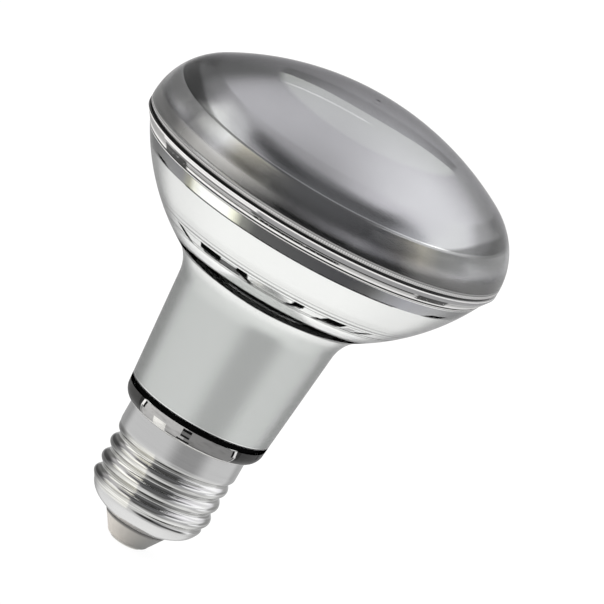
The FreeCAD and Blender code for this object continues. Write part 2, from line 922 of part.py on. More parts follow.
def transformer():
    """Ferrite frame with a centre leg, flanged bobbin round the leg and winding on the bobbin."""
    leg = S.core_leg
    half_leg = leg / 2
    gap = S.fit_gap / 2
    core_x = -S.core_width / 2
    core_y = BOARD_FACE_Y + S.bobbin_flange + S.bobbin_wall + gap
    core_z = LEDGE_Z + S.fit_gap + gap
    frame = block("core_frame", S.core_width, S.core_depth, S.core_height, core_x, core_y, core_z)
    window = (S.core_width - 3 * leg) / 2
    windows = [
        block(
            f"core_window_{index}",
            window,
            S.core_depth + 2 * gap,
            S.core_height - leg,
            core_x + leg + index * (window + leg),
            core_y - gap,
            core_z + half_leg,
        )
        for index in range(2)
    ]
    opening = joined("Part::MultiFuse", "core_windows", windows)
    keep(joined("Part::Cut", "transformer_core", [frame, opening]), "transformer_core")

    bore_width = leg + 2 * gap
    bore_depth = S.core_depth + 2 * gap
    tube_width = bore_width + 2 * S.bobbin_wall
    tube_depth = bore_depth + 2 * S.bobbin_wall
    tube_y = core_y - gap - S.bobbin_wall
    tube_z = core_z + half_leg + gap
    tube_height = S.core_height - leg - 2 * gap
    wall = S.bobbin_wall
    flange_width = tube_width + 2 * S.winding_wall
    flange_depth = tube_depth + 2 * S.bobbin_flange
    pieces = [
        sleeve(
            "bobbin_tube",
            tube_width,
            tube_depth,
            tube_height,
            bore_width,
            bore_depth,
            -tube_width / 2,
            tube_y,
            tube_z,
        )
    ]
    for index in range(2):
        pieces.append(
            sleeve(
                f"bobbin_flange_{index}",
                flange_width,
                flange_depth,
                wall,
                bore_width,
                bore_depth,
                -flange_width / 2,
                tube_y - S.bobbin_flange,
                tube_z + index * (tube_height - wall),
            )
        )
    keep(joined("Part::MultiFuse", "transformer_bobbin", pieces), "transformer_bobbin")

    coil_width = tube_width + 2 * (S.winding_wall - gap)
    coil_depth = tube_depth + 2 * (S.winding_wall - gap)
    winding = sleeve(
        "transformer_winding",
        coil_width,
        coil_depth,
        tube_height - 2 * wall,
        tube_width,
        tube_depth,
        -coil_width / 2,
        tube_y - S.winding_wall + gap,
        tube_z + wall,
    )
    keep(winding, "transformer_winding")
    return core_z + S.core_height


def filter_choke(z):
    """Drum choke: two flanges and a waist."""
    radius = S.choke_radius
    waist = radius - S.choke_waist
    flange = S.choke_flange
    slope = flange / 2
    body = lathe(
        "filter_choke",
        [
            (as_size(0), as_size(0)),
            (radius, as_size(0)),
            (radius, flange),
            (waist, flange + slope),
            (waist, S.choke_length - flange - slope),
            (radius, S.choke_length - flange),
            (radius, S.choke_length),
            (as_size(0), S.choke_length),
        ],
    )
    return place(body, S.output_offset, BOARD_FACE_Y + radius, z)


def wire(name, route):
    """A round wire: straight runs through the route's corners, joined by tangent bends."""
    points = [FreeCAD.Vector(*[as_size(value).number for value in corner]) for corner in route]
    edges = []
    last = points[0]
    for corner, after in zip(points[1:-1], points[2:]):
        into = (corner - last).normalize()
        away = (after - corner).normalize()
        turn = into.getAngle(away)
        trim = S.wire_bend.number * math.tan(turn / 2)
        begin = corner - into * trim
        end = corner + away * trim
        across = (away - into).normalize()
        middle = corner + across * (S.wire_bend.number / math.cos(turn / 2) - S.wire_bend.number)
        edges.append(Part.LineSegment(last, begin).toShape())
        edges.append(Part.Arc(begin, middle, end).toShape())
        last = end
    edges.append(Part.LineSegment(last, points[-1]).toShape())
    path = Part.Wire(edges)
    heading = points[1] - points[0]
    ring = Part.Wire([Part.makeCircle(S.wire_radius.number, points[0], heading)])
    solid = path.makePipeShell([ring], True, False)
    feature = DOC.addObject("Part::Feature", name)
    feature.Shape = solid
    feature.Placement = FreeCAD.Placement()
    return feature


def fuse_resistor():
    """Axial fusible resistor beside the bulk capacitor, in line with the live wire."""
    feature = DOC.addObject("Part::Cylinder", "fuse_resistor")
    bind(feature, Radius=S.fuse_radius, Height=S.fuse_length)
    place(feature, S.fuse_offset, BOARD_FACE_Y + S.fuse_radius, FUSE_Z)
    return keep(feature, "fuse_resistor")


def chip_package(label, width, depth, height, z):
    """A moulded package on the back of the board."""
    return keep(
        block(label, width, depth, height, -width / 2, BOARD_BACK_Y - depth, z),
        label,
    )


def live_wire():
    """From inside the contact rivet up to the fusible resistor."""
    route = [
        (0, 0, S.contact_lip * 2 + S.fit_gap),
        (0, 0, S.nose_end + S.wire_bend),
        (S.fuse_offset, BOARD_FACE_Y + S.fuse_radius, FUSE_Z - 2 * S.wire_bend),
        (S.fuse_offset, BOARD_FACE_Y + S.fuse_radius, FUSE_Z),
    ]
    return keep(wire("live_wire", route), "live_wire")


def neutral_wire():
    """From the back of the board down past the nose and out to the screw shell."""
    back = BOARD_BACK_Y - S.wire_radius
    side = -S.neutral_offset
    reach = root(back * back + side * side)
    level = S.nose_end - S.wire_radius - S.fit_gap / 2
    share = (NOSE_RADIUS + S.fit_gap / 2) / reach
    route = [
        (side, back, BOARD_TAIL_Z + S.wire_tail),
        (side, back, level),
        (side * share, back * share, level),
    ]
    return keep(wire("neutral_wire", route), "neutral_wire")


def led_wires():
    """Pair of leads from the driver board through the sink's port to the LED board."""
    rise = BOARD_FACE_Y + S.wire_radius
    top = CHIP_Z + S.wire_radius + S.fit_gap
    pair = []
    for index, side in enumerate((-1, 1)):
        x = side * (S.wire_radius + S.fit_gap * 2)
        route = [
            (x, rise, BOARD_TOP_Z - S.wire_tail),
            (x, rise, BOARD_TOP_Z + S.wire_bend),
            (x, 0, SINK_Z - S.wire_radius * 2),
            (x, 0, top),
            (x, S.screw_ring + S.wire_radius, top),
        ]
        pair.append(wire(f"led_wire_{index}", route))
    return group("led_wires", pair)


def film_capacitor():
    """Boxed capacitor beside the bulk capacitor."""
    box = block(
        "film_capacitor",
        S.film_width,
        S.film_depth,
        S.film_height,
        S.film_offset,
        BOARD_FACE_Y,
        BOARD_TAIL_Z + S.wire_bend,
    )
    return keep(box, "film_capacitor")


def light_engine():
    """Heat sink, pad, LED board, chips and screws."""
    drilled("heat_sink", heat_sink(), SINK_Z, PAD_Z)
    pad = disc("thermal_pad", LED_BOARD_RADIUS, S.sink_port, PAD_Z, LED_BOARD_Z)
    drilled("thermal_pad", pad, PAD_Z, LED_BOARD_Z)
    board = disc("led_board", LED_BOARD_RADIUS, S.sink_port, LED_BOARD_Z, CHIP_Z)
    drilled("led_board", board, LED_BOARD_Z, CHIP_Z)
    led_chips()
    led_board_screws()


def driver():
    """Circuit board with its components and wires."""
    driver_board()
    core_top = transformer()
    upper_z = core_top + S.wire_bend
    can("bulk_capacitor", S.bulk_radius, S.bulk_length, -S.bulk_offset, BOARD_TAIL_Z + S.can_edge)
    can("output_capacitor", S.output_radius, S.output_length, -S.output_offset, upper_z)
    filter_choke(upper_z)
    fuse_resistor()
    film_capacitor()
    bridge_z = BOARD_TAIL_Z + S.bulk_length / 2
    chip_package("bridge_rectifier", S.bridge_width, S.bridge_depth, S.bridge_height, bridge_z)
    control_z = core_top - S.core_height / 2
    chip_package("control_chip", S.control_width, S.control_depth, S.control_height, control_z)
    live_wire()
    neutral_wire()
    led_wires()


def check_and_write():
    """Stops at any failed object or solid, then writes each sub-part."""
    DOC.recompute()
    for feature in DOC.Objects:
        if "Invalid" in feature.State or "Error" in feature.State:
            raise RuntimeError(f"{feature.Name} failed: {feature.getStatusString()}")
    for feature in SUB_PARTS:
        shape = feature.Shape
        if shape.isNull() or not shape.isValid() or not shape.Solids:
            raise RuntimeError(f"{feature.Label} has no valid solid")
    os.makedirs("parts", exist_ok=True)
    for feature in SUB_PARTS:
        feature.Shape.exportStep(f"parts/{feature.Label}.step")
        print(f"{feature.Label}: {len(feature.Shape.Solids)} solid, {feature.Shape.Volume:.1f} mm3")


front_lens()
seam_adhesive()
reflector_glass()
cap_shell()
cap_insulator()
centre_contact()
driver_housing()
light_engine()
driver()
check_and_write()
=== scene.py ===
import math
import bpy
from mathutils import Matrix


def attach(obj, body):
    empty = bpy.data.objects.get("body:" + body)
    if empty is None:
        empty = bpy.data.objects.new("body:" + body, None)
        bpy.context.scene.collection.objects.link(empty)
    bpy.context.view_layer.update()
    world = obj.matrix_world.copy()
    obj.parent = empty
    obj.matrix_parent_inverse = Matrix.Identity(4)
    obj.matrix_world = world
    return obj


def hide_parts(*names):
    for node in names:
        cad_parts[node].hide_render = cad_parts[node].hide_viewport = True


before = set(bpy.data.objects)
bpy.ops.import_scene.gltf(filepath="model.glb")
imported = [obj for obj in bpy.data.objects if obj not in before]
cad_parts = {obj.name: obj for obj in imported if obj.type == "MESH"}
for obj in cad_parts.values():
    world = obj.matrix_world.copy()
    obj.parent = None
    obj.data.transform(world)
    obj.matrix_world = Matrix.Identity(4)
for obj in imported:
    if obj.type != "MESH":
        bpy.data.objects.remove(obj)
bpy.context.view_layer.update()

from types import SimpleNamespace

import bpy
from mathutils import Matrix, Vector

# Looks of the reflector bulb: clear glass over a satin and a mirror coating, rolled cap, studio.
# Profiles are in millimetres and follow the part's source, with a lower gate pip; the scene is in
# metres. Angles run round the axis in degrees, 0 at the front and positive to the right.

MM = 0.001

# View of the photograph
PHOTO_ELEVATION = 13.5
PHOTO_ROLL = 30.0
PHOTO_SPAN = 121.5
PHOTO_AIM_HEIGHT = 65.3
PHOTO_AIM_RIGHT = 4.11
PHOTO_AIM_UP = -6.56
CAMERA_DISTANCE = 2.0
SENSOR = 36.0

# Fineness of the turned and rolled surfaces
TURN_STEPS = 288
ROWS_PER_PITCH = 40

# Half width of the studio floor
FLOOR_HALF = 4000.0

# Cap
CAP = SimpleNamespace(
    opening=7.1,
    opening_z=4.95,
    skirt=12.35,
    skirt_z=9.55,
    skirt_bulge=0.75,
    collar=13.15,
    collar_z=22.55,
    top_z=27.05,
    wall=0.3,
    thread=13.05,
    depth=1.1,
    pitch=3.629,
    phase=-1.05,
    lead=0.9,
    run_in=2.0,
    run_out=2.18,
    crest_flat=0.066,
    skirt_blend=1.63,
    collar_blend=2.0,
)

# Glass
GLASS = SimpleNamespace(
    wall=1.5,
    end_z=27.35,
    lip=0.35,
    curl=2.8,
    neck=15.55,
    taper=5.0,
    fillet=9.0,
    bowl=47.0,
    rim=38.5,
    rim_z=80.35,
    rim_slope=26.0,
    flange_rise=2.1,
    flange_edge=0.55,
    flange_bore=36.97,
)

# Front lens
LENS = SimpleNamespace(
    radius=40.0,
    wall=1.6,
    foot_z=83.3,
    edge=0.4,
    shoulder_z=84.3,
    shoulder=14.4,
    crease=33.0,
    crease_z=96.22,
    rise=9.18,
    hollow=60.0,
    step=34.7,
    step_z=90.2,
    vault=30.5,
    vault_z=94.6,
    vault_bend=18.0,
    crown=1.6,
    pip=0.7,
    pip_rise=0.1,
)

# Seam between lens and bowl, with its refractions and reflections painted on the outer glass, and a
# painted pale sheen above it
SEAM = SimpleNamespace(
    low=79.5,
    high=84.48,
    tilt=0.25,
    edge=0.05,
    speck_low=80.6,
    speck_high=81.12,
    knurl_low=83.5,
    knurl_high=84.45,
    knurl_turns=8.0,
    sheen_low=84.7,
    sheen_high=87.2,
    sheen_edge=0.7,
)

# Coating of neck and bowl: its lower end and black band, satin below and mirror above, a painted
# black crescent reflection and a painted dark ring of reflections
COATING = SimpleNamespace(
    foot_z=30.4,
    clear_z=30.78,
    black_end_z=32.0,
    satin_z=58.0,
    mirror_z=61.0,
    crescent_z=62.8,
    crescent_reach=1.45,
    crescent_drop=0.6,
    ring_low=76.95,
    ring_high=79.6,
)

# Reflection of a lens-shaped lamp, in degrees on the plane overhead
LAMP = SimpleNamespace(
    centre=(0.0, 58.0),
    half=(15.8, 23.4),
    arch_back=57.2,
    arch_bend=0.052,
    hood_depth=13.5,
    hood_half=14.0,
    hood_back=68.0,
    hood_lean=0.3,
    rim_back=50.8,
    rim_bend=0.0288,
    rim_half=15.2,
)


def grey(value):
    """A colour without a tint."""
    return (value, value, value)


# Painted reflection rings on the bowl's coating: lower and upper height, soft edge, colour
BOWL_REFLECTION_BANDS = [
    (32.1, 32.25, 0.08, grey(1.0)),
    (63.4, 66.2, 0.3, (0.93, 0.93, 0.925)),
    (68.9, 70.9, 1.4, (0.74, 0.74, 0.735)),
    (68.05, 68.17, 0.08, grey(0.22)),
    (68.6, 68.95, 0.2, grey(0.30)),
    (69.5, 69.7, 0.2, grey(0.46)),
]

# Painted black reflections in the mirror: left and right angle, lower and upper height, lean
BLACK_REFLECTIONS = [
    (-44.6, -41.0, 66.35, 67.75, -4.0),
    (-34.6, -23.6, 66.6, 67.85, 0.5),
    (-15.2, -10.2, 67.05, 67.95, 0.0),
    (-9.4, -6.6, 66.38, 67.15, -7.0),
    (10.8, 15.3, 67.05, 67.95, 0.0),
    (7.6, 10.2, 66.45, 67.15, 5.0),
    (21.5, 25.0, 66.4, 66.72, 4.0),
    (24.6, 34.0, 66.6, 67.78, 1.2),
    (40.6, 43.8, 66.62, 67.6, 6.5),
    (-61.5, -54.0, 76.95, 77.35, -6.0),
    (53.0, 62.0, 76.9, 77.45, 5.0),
    (-180.0, 180.0, 66.27, 66.4, 0.0),
    (-44.0, 40.0, 76.84, 76.98, 0.0),
]

# Painted reflections of other tones beside them: left and right angle, lower and upper height, lean,
# colour
TONED_REFLECTIONS = [
    (-23.8, -14.0, 66.65, 67.9, 0.5, grey(0.01)),
    (-8.0, 10.5, 66.5, 68.0, 0.0, (0.84, 0.84, 0.83)),
    (35.0, 40.5, 66.6, 67.7, 3.0, grey(0.42)),
]

# Painted reflection tones round the dark ring under the seam, from the left to the right of the
# front
RING_REFLECTION_TONES = [
    (-90.0, grey(0.26)),
    (-62.0, grey(0.15)),
    (-46.0, (0.20, 0.20, 0.21)),
    (-42.0, (0.36, 0.35, 0.27)),
    (-39.5, (0.86, 0.86, 0.76)),
    (-36.0, (0.98, 0.98, 0.97)),
    (-24.5, (0.98, 0.98, 0.95)),
    (-22.0, (0.85, 0.85, 0.70)),
    (-18.5, (0.20, 0.20, 0.18)),
    (-13.0, grey(0.055)),
    (20.0, (0.015, 0.015, 0.02)),
    (28.0, grey(0.05)),
    (34.0, (0.20, 0.20, 0.21)),
    (42.0, (0.33, 0.33, 0.36)),
    (56.0, (0.36, 0.36, 0.37)),
    (90.0, grey(0.26)),
]

# Painted reflection tones round the side of the front lens
SIDE_REFLECTION_TONES = [
    (-90.0, grey(0.70)),
    (-63.0, grey(0.80)),
    (-54.0, grey(0.28)),
    (-46.0, grey(0.42)),
    (-38.0, (0.64, 0.64, 0.65)),
    (-30.0, (0.42, 0.40, 0.34)),
    (-23.0, (0.37, 0.355, 0.305)),
    (-15.7, (0.44, 0.435, 0.41)),
    (-8.0, grey(0.36)),
    (6.0, (0.32, 0.32, 0.325)),
    (15.0, (0.27, 0.27, 0.275)),
    (23.0, (0.11, 0.11, 0.115)),
    (30.0, (0.12, 0.115, 0.105)),
    (38.0, (0.28, 0.265, 0.225)),
    (46.0, (0.16, 0.16, 0.155)),
    (55.0, grey(0.20)),
    (64.0, grey(0.42)),
    (90.0, grey(0.70)),
]

# Painted reflection tones round its foot
FOOT_REFLECTION_TONES = [
    (-90.0, grey(0.50)),
    (-54.0, grey(0.24)),
    (-46.0, grey(0.30)),
    (-38.5, grey(0.74)),
    (-30.0, (0.54, 0.53, 0.49)),
    (-23.0, (0.34, 0.33, 0.30)),
    (-15.0, (0.20, 0.20, 0.19)),
    (-6.0, grey(0.15)),
    (6.0, (0.20, 0.20, 0.205)),
    (15.0, (0.22, 0.22, 0.225)),
    (23.0, (0.12, 0.12, 0.125)),
    (30.0, grey(0.11)),
    (38.0, (0.30, 0.29, 0.27)),
    (55.0, grey(0.42)),
    (90.0, grey(0.60)),
]

# Painted lines of refraction and reflection in the glass at the seam: lower and upper height, soft
# edge, left and right angle, colour
SEAM_LINES = [
    (84.2, 84.5, 0.06, -180.0, 180.0, grey(0.42)),
    (84.08, 84.2, 0.05, -180.0, 180.0, grey(0.10)),
    (83.48, 84.08, 0.08, -180.0, 180.0, grey(0.72)),
    (82.45, 82.88, 0.08, -180.0, 180.0, grey(0.92)),
    (82.8, 83.36, 0.05, -180.0, 180.0, grey(0.0)),
    (81.55, 82.5, 0.12, -180.0, 180.0, (0.36, 0.36, 0.37)),
    (81.95, 82.5, 0.06, -180.0, -14.0, grey(0.95)),
    (81.62, 81.8, 0.05, -50.0, -12.0, grey(0.10)),
    (81.3, 81.55, 0.05, -16.0, 40.0, grey(0.02)),
    (81.1, 81.3, 0.05, -180.0, 180.0, grey(0.30)),
    (80.62, 81.1, 0.05, -180.0, 180.0, grey(0.62)),
    (80.72, 80.95, 0.05, -44.0, -15.0, grey(0.04)),
    (80.62, 81.1, 0.05, -15.0, 14.0, grey(0.01)),
    (80.15, 80.62, 0.05, -180.0, 180.0, grey(0.97)),
    (79.62, 79.9, 0.06, -180.0, 180.0, grey(0.85)),
    (79.82, 80.16, 0.05, -180.0, 180.0, grey(0.0)),
    (79.5, 79.6, 0.05, -180.0, 180.0, grey(0.10)),
    (80.15, 81.55, 0.10, -56.0, -43.0, grey(0.035)),
    (80.5, 81.65, 0.10, 41.5, 54.5, grey(0.035)),
    (80.9, 82.4, 0.10, -95.0, -57.0, grey(0.40)),
]

# Painted highlight and shade round the thread's rolling polish, lighter on its left
THREAD_SHADING = [
    (-90.0, (0.90, 0.90, 0.89)),
    (-40.0, (0.98, 0.975, 0.95)),
    (-15.6, (1.0, 0.99, 0.95)),
    (-13.4, grey(0.70)),
    (14.0, grey(0.68)),
    (34.0, grey(0.84)),
    (60.0, grey(0.86)),
    (90.0, grey(0.74)),
]

# How much of a painted pale sheen, a painted reflection, the lens shows above its foot, round from
# the left
FOOT_SHEEN = [
    (-90.0, grey(0.10)),
    (-56.0, grey(0.15)),
    (-42.0, grey(0.65)),
    (-32.0, grey(0.65)),
    (-18.0, grey(0.20)),
    (-8.0, grey(0.0)),
    (30.0, grey(0.0)),
    (38.0, grey(0.40)),
    (58.0, grey(0.40)),
    (90.0, grey(0.10)),
]

# Painted picture of the latch ring in the neck's end, with painted highlights, reflections and
# shade: left and right angle, lower and upper height, lean, colour
NECK_END = [
    (-180.0, 180.0, 27.7, 31.0, 0.0, grey(0.055)),
    (-43.0, 0.0, 27.7, 31.0, 0.0, grey(0.52)),
    (0.0, 43.0, 27.7, 31.0, 0.0, grey(0.26)),
    (-29.0, -17.0, 27.5, 29.3, 0.0, (1.0, 1.0, 0.97)),
    (-3.8, 3.8, 28.85, 30.6, 0.0, grey(0.16)),
    (-3.8, 3.8, 30.05, 30.6, 0.0, grey(0.0)),
    (-3.6, 3.6, 28.85, 29.3, 0.0, grey(0.0)),
    (-16.0, 38.0, 27.72, 27.9, 0.0, grey(0.03)),
    (-5.8, 5.3, 27.7, 28.25, 0.0, grey(0.0)),
    (-48.0, -44.2, 28.8, 31.0, 0.0, grey(0.02)),
    (-42.4, -40.4, 29.2, 30.7, 0.8, grey(0.0)),
    (-44.6, -42.4, 29.5, 30.75, 0.8, grey(1.0)),
    (-43.4, -42.4, 27.7, 29.4, -0.4, grey(0.03)),
    (-44.2, -43.4, 27.7, 29.5, -0.4, grey(0.85)),
    (44.2, 48.0, 28.8, 31.0, 0.0, grey(0.03)),
    (40.4, 42.4, 29.2, 30.7, -0.8, grey(0.0)),
    (42.4, 44.4, 29.3, 30.75, -0.8, grey(1.0)),
    (42.4, 43.4, 27.7, 29.4, 0.4, grey(0.03)),
    (43.4, 44.2, 27.7, 29.5, 0.4, grey(0.85)),
    (69.5, 73.0, 29.6, 31.0, 0.0, grey(0.0)),
    (-90.0, -75.0, 29.8, 31.0, 0.0, grey(0.01)),
]

# Panels of the studio: azimuth, elevation, half width, half height, edge across, edge along, colour
SIDE_PANELS = [
    (-142.0, 12.0, 27.0, 15.0, 8.0, 5.0, grey(0.20)),
    (140.0, 8.0, 26.0, 11.0, 8.0, 5.0, grey(0.46)),
    (-66.0, 16.0, 34.0, 9.0, 1.5, 2.0, (1.02, 1.01, 0.95)),
    (-78.0, 30.0, 38.0, 7.0, 6.0, 3.0, (1.32, 1.32, 1.30)),
    (80.0, 16.0, 36.0, 9.0, 4.0, 2.0, (0.86, 0.86, 0.87)),
    (84.0, 30.0, 44.0, 7.0, 6.0, 3.0, (1.30, 1.30, 1.31)),
]

# Shades on the studio's floor, in the same order
FLOOR_SHADES = [
    (25.0, -14.0, 31.0, 8.0, 17.0, 5.0, grey(0.40)),
    (27.0, -32.0, 28.0, 9.0, 14.0, 7.0, grey(0.60)),
    (152.0, -18.0, 22.0, 13.0, 9.0, 7.0, grey(0.52)),
    (-155.0, -18.0, 34.0, 14.0, 12.0, 8.0, grey(0.45)),
]


class Graph:
    """Short forms for building a shader tree."""

    def __init__(self, tree):
        self.tree = tree
        self.tree.nodes.clear()

    def node(self, kind, inputs=None, **settings):
        """Adds a node, sets its properties, and links or sets its inputs."""
        made = self.tree.nodes.new(kind)
        for name, value in settings.items():
            setattr(made, name, value)
        for name, value in (inputs or {}).items():
            self.feed(made.inputs[name], value)
        return made

    def feed(self, socket, value):
        """Links a socket to another, or sets it to a plain value."""
        if isinstance(value, bpy.types.NodeSocket):
            self.tree.links.new(value, socket)
        elif isinstance(value, tuple) and len(value) == 3 and socket.type == "RGBA":
            socket.default_value = (*value, 1.0)
        else:
            socket.default_value = value

    def calc(self, operation, *values):
        """One arithmetic step."""
        inputs = dict(enumerate(values))
        return self.node("ShaderNodeMath", inputs, operation=operation).outputs[0]

    def product(self, first, *others):
        """Several factors multiplied."""
        for factor in others:
            first = self.calc("MULTIPLY", first, factor)
        return first

    def distance(self, x, y):
        """Length of the step that x and y make together."""
        squares = self.calc("ADD", self.calc("MULTIPLY", x, x), self.calc("MULTIPLY", y, y))
        return self.calc("SQRT", squares)

    def bearing(self, x, y):
        """Angle of a point or direction about the axis."""
        return self.calc("DEGREES", self.calc("ARCTAN2", x, self.calc("MULTIPLY", y, -1.0)))

    def split(self, kind="Object"):
        """The three coordinates of a point or direction."""
        where = self.node("ShaderNodeTexCoord").outputs[kind]
        outputs = self.node("ShaderNodeSeparateXYZ", {0: where}).outputs
        return outputs["X"], outputs["Y"], outputs["Z"]

    def span(self, value, low, high, first=0.0, last=1.0, kind="SMOOTHSTEP"):
        """Carries a value from one range to another, held at both ends."""
        inputs = {"Value": value, "From Min": low, "From Max": high, "To Min": first, "To Max": last}
        made = self.node("ShaderNodeMapRange", inputs, interpolation_type=kind)
        return made.outputs["Result"]

    def mix(self, share, first, second, blend="MIX"):
        """A colour between two, or another blend of them."""
        made = self.node("ShaderNodeMix", {0: share}, data_type="RGBA", blend_type=blend)
        self.feed(made.inputs[6], first)
        self.feed(made.inputs[7], second)
        return made.outputs[2]

    def layer(self, share, under, over):
        """One shader laid over another."""
        return self.node("ShaderNodeMixShader", {0: share, 1: under, 2: over}).outputs[0]

    def noise(self, scale, detail=3.0, stretch=(1.0, 1.0, 1.0)):
        """Fine random variation from 0 to 1, in the lamp's own coordinates."""
        place = self.node("ShaderNodeTexCoord").outputs["Object"]
        mapped = self.node("ShaderNodeMapping", {"Vector": place, "Scale": stretch}).outputs[0]
        inputs = {"Vector": mapped, "Scale": scale, "Detail": detail}
        return self.node("ShaderNodeTexNoise", inputs).outputs["Fac"]

    def place(self):
        """Height in millimetres and angle about the axis."""
        x, y, z = self.split()
        return self.calc("MULTIPLY", z, 1 / MM), self.bearing(x, y)

    def band(self, value, low, high, edge):
        """1 between two values and 0 outside them, with soft edges."""
        rise = self.span(value, low - edge / 2, low + edge / 2)
        fall = self.span(value, high - edge / 2, high + edge / 2, 1.0, 0.0)
        return self.calc("MULTIPLY", rise, fall)

    def patch(self, height, angle, left, right, low, high, lean=0.0, edge=0.08):
        """1 inside a block of angle and height whose sides lean by degrees for each millimetre."""
        run = self.calc("MULTIPLY", self.calc("SUBTRACT", height, low), lean)
        upright = self.calc("SUBTRACT", angle, run)
        across = self.band(upright, left, right, edge * 5)
        return self.calc("MULTIPLY", across, self.band(height, low, high, edge))

    def ramp(self, value, stops):
        """A colour that runs through stops of (value, colour)."""
        low = stops[0][0]
        high = stops[-1][0]
        share = self.span(value, low, high, kind="LINEAR")
        made = self.node("ShaderNodeValToRGB", {"Fac": share})
        elements = made.color_ramp.elements
        elements[0].color = (*stops[0][1], 1.0)
        elements[1].color = (*stops[-1][1], 1.0)
        for at, colour in stops[1:-1]:
            elements.new((at - low) / (high - low)).color = (*colour, 1.0)
        return made.outputs["Color"]

    def oval(self, across, along, centre, half, soft):
        """1 inside an ellipse and 0 outside it, with its soft edge as a share of its size."""
        x = self.calc("DIVIDE", self.calc("SUBTRACT", across, centre[0]), half[0])
        y = self.calc("DIVIDE", self.calc("SUBTRACT", along, centre[1]), half[1])
        return self.span(self.distance(x, y), 1 - soft, 1 + soft, 1.0, 0.0)

    def panel(self, sky, room, turn, rise, width, tall, side, rim, colour):
        """A soft-edged panel of the studio, laid over the room."""
        aside = self.calc("WRAP", self.calc("SUBTRACT", sky.azimuth, turn), 180.0, -180.0)
        across = self.span(self.calc("ABSOLUTE", aside), width - side, width + side, 1.0, 0.0)
        apart = self.calc("ABSOLUTE", self.calc("SUBTRACT", sky.elevation, rise))
        along = self.span(apart, tall - rim, tall + rim, 1.0, 0.0)
        return self.mix(self.calc("MULTIPLY", across, along), room, colour)

    def bump(self, height, strength, distance=0.05 * MM):
        """A bumped normal."""
        inputs = {"Height": height, "Strength": strength, "Distance": distance}
        return self.node("ShaderNodeBump", inputs).outputs["Normal"]

    def finish(self, shader, kind="ShaderNodeOutputMaterial"):
        """Ends the tree in its output."""
        self.node(kind, {"Surface": shader})


def new_material(name):
    """An empty material with its graph."""
    made = bpy.data.materials.new(name)
    made.use_nodes = True
    return made, Graph(made.node_tree)


def principled(graph, **inputs):
    """The common shader with its named inputs; an underscore stands for a space."""
    named = {name.replace("_", " "): value for name, value in inputs.items()}
    return graph.node("ShaderNodeBsdfPrincipled", named).outputs["BSDF"]


def seam_tones(graph, height, angle):
    """Painted refractions and reflections of the joint that the glass shows at the seam, and a
    painted sheen above it: how much it covers, and its colour.
    """
    tilt = graph.calc("MULTIPLY", graph.calc("SINE", graph.calc("RADIANS", angle)), SEAM.tilt)
    level = graph.calc("SUBTRACT", height, tilt)
    cover = graph.band(level, SEAM.low, SEAM.high, SEAM.edge)
    tone = grey(0.6)
    for low, high, edge, left, right, colour in SEAM_LINES:
        inside = graph.band(level, low, high, edge)
        if right - left < 360.0:
            inside = graph.product(inside, graph.band(angle, left, right, 1.5))
        tone = graph.mix(inside, tone, colour)
    speck = graph.span(graph.noise(3200.0, 2.0), 0.62, 0.72)
    near = graph.band(level, SEAM.speck_low, SEAM.speck_high, SEAM.edge)
    tone = graph.mix(graph.product(near, speck), tone, grey(0.8))
    wave = graph.calc("SINE", graph.calc("MULTIPLY", angle, SEAM.knurl_turns))
    knurl = graph.band(level, SEAM.knurl_low, SEAM.knurl_high, SEAM.edge)
    knurl = graph.product(knurl, graph.span(wave, -0.6, 0.6, 0.0, 0.45))
    tone = graph.mix(knurl, tone, grey(0.12))
    above = graph.span(level, SEAM.knurl_high, SEAM.knurl_high + SEAM.edge)
    # Painted pale sheen on the lens above its foot, lighter on the left and darker on the right
    glow = graph.band(height, SEAM.sheen_low, SEAM.sheen_high, SEAM.sheen_edge)
    glow = graph.product(glow, graph.ramp(angle, FOOT_SHEEN), above)
    sheen_tone = graph.mix(graph.span(angle, -20.0, 30.0), (0.60, 0.60, 0.59), (0.30, 0.30, 0.295))
    return graph.calc("ADD", cover, glow), graph.mix(above, tone, sheen_tone)


def neck_end_tones(graph, height, angle):
    """Painted picture of the latch ring that the glass shows at the neck's end, with painted
    highlights, reflections, shade and dark streaks: cover and colour.
    """
    cover = graph.span(height, COATING.clear_z, COATING.clear_z + 0.06, 1.0, 0.0)
    tone = (0.95, 0.95, 0.94)
    for left, right, low, high, lean, colour in NECK_END:
        inside = graph.patch(height, angle, left, right, low, high, lean)
        tone = graph.mix(inside, tone, colour)
    streaks = graph.noise(260.0, 4.0, (1.0, 1.0, 5.0))
    return cover, graph.mix(graph.span(streaks, 0.45, 0.75, 0.0, 0.35), tone, grey(0.05))


def black_marks(graph, height, angle, drop=0.0):
    """Painted black reflections that the mirror shows of the dark lens edge and of the gap above the
    neck, and the black lower end.
    """
    # Painted black crescent reflection, wide where the mirror faces the view and narrowing to
    # nothing toward its edges
    facing = graph.node("ShaderNodeLayerWeight", {"Blend": 0.5}).outputs["Facing"]
    reach = graph.span(facing, 0.35, 0.9, COATING.crescent_reach, 0.0, "LINEAR")
    reach = graph.calc("ADD", reach, drop)
    offset = graph.calc("ABSOLUTE", graph.calc("SUBTRACT", height, COATING.crescent_z - drop))
    cover = graph.span(graph.calc("SUBTRACT", reach, offset), -0.1, 0.1)
    # Black band at the coating's lower end
    end = graph.span(height, COATING.black_end_z, COATING.black_end_z + 0.08, 1.0, 0.0)
    cover = graph.calc("MAXIMUM", cover, end)
    for left, right, low, high, lean in BLACK_REFLECTIONS:
        mark = graph.patch(height, angle, left, right, low, high, lean)
        cover = graph.calc("MAXIMUM", cover, mark)
    return cover


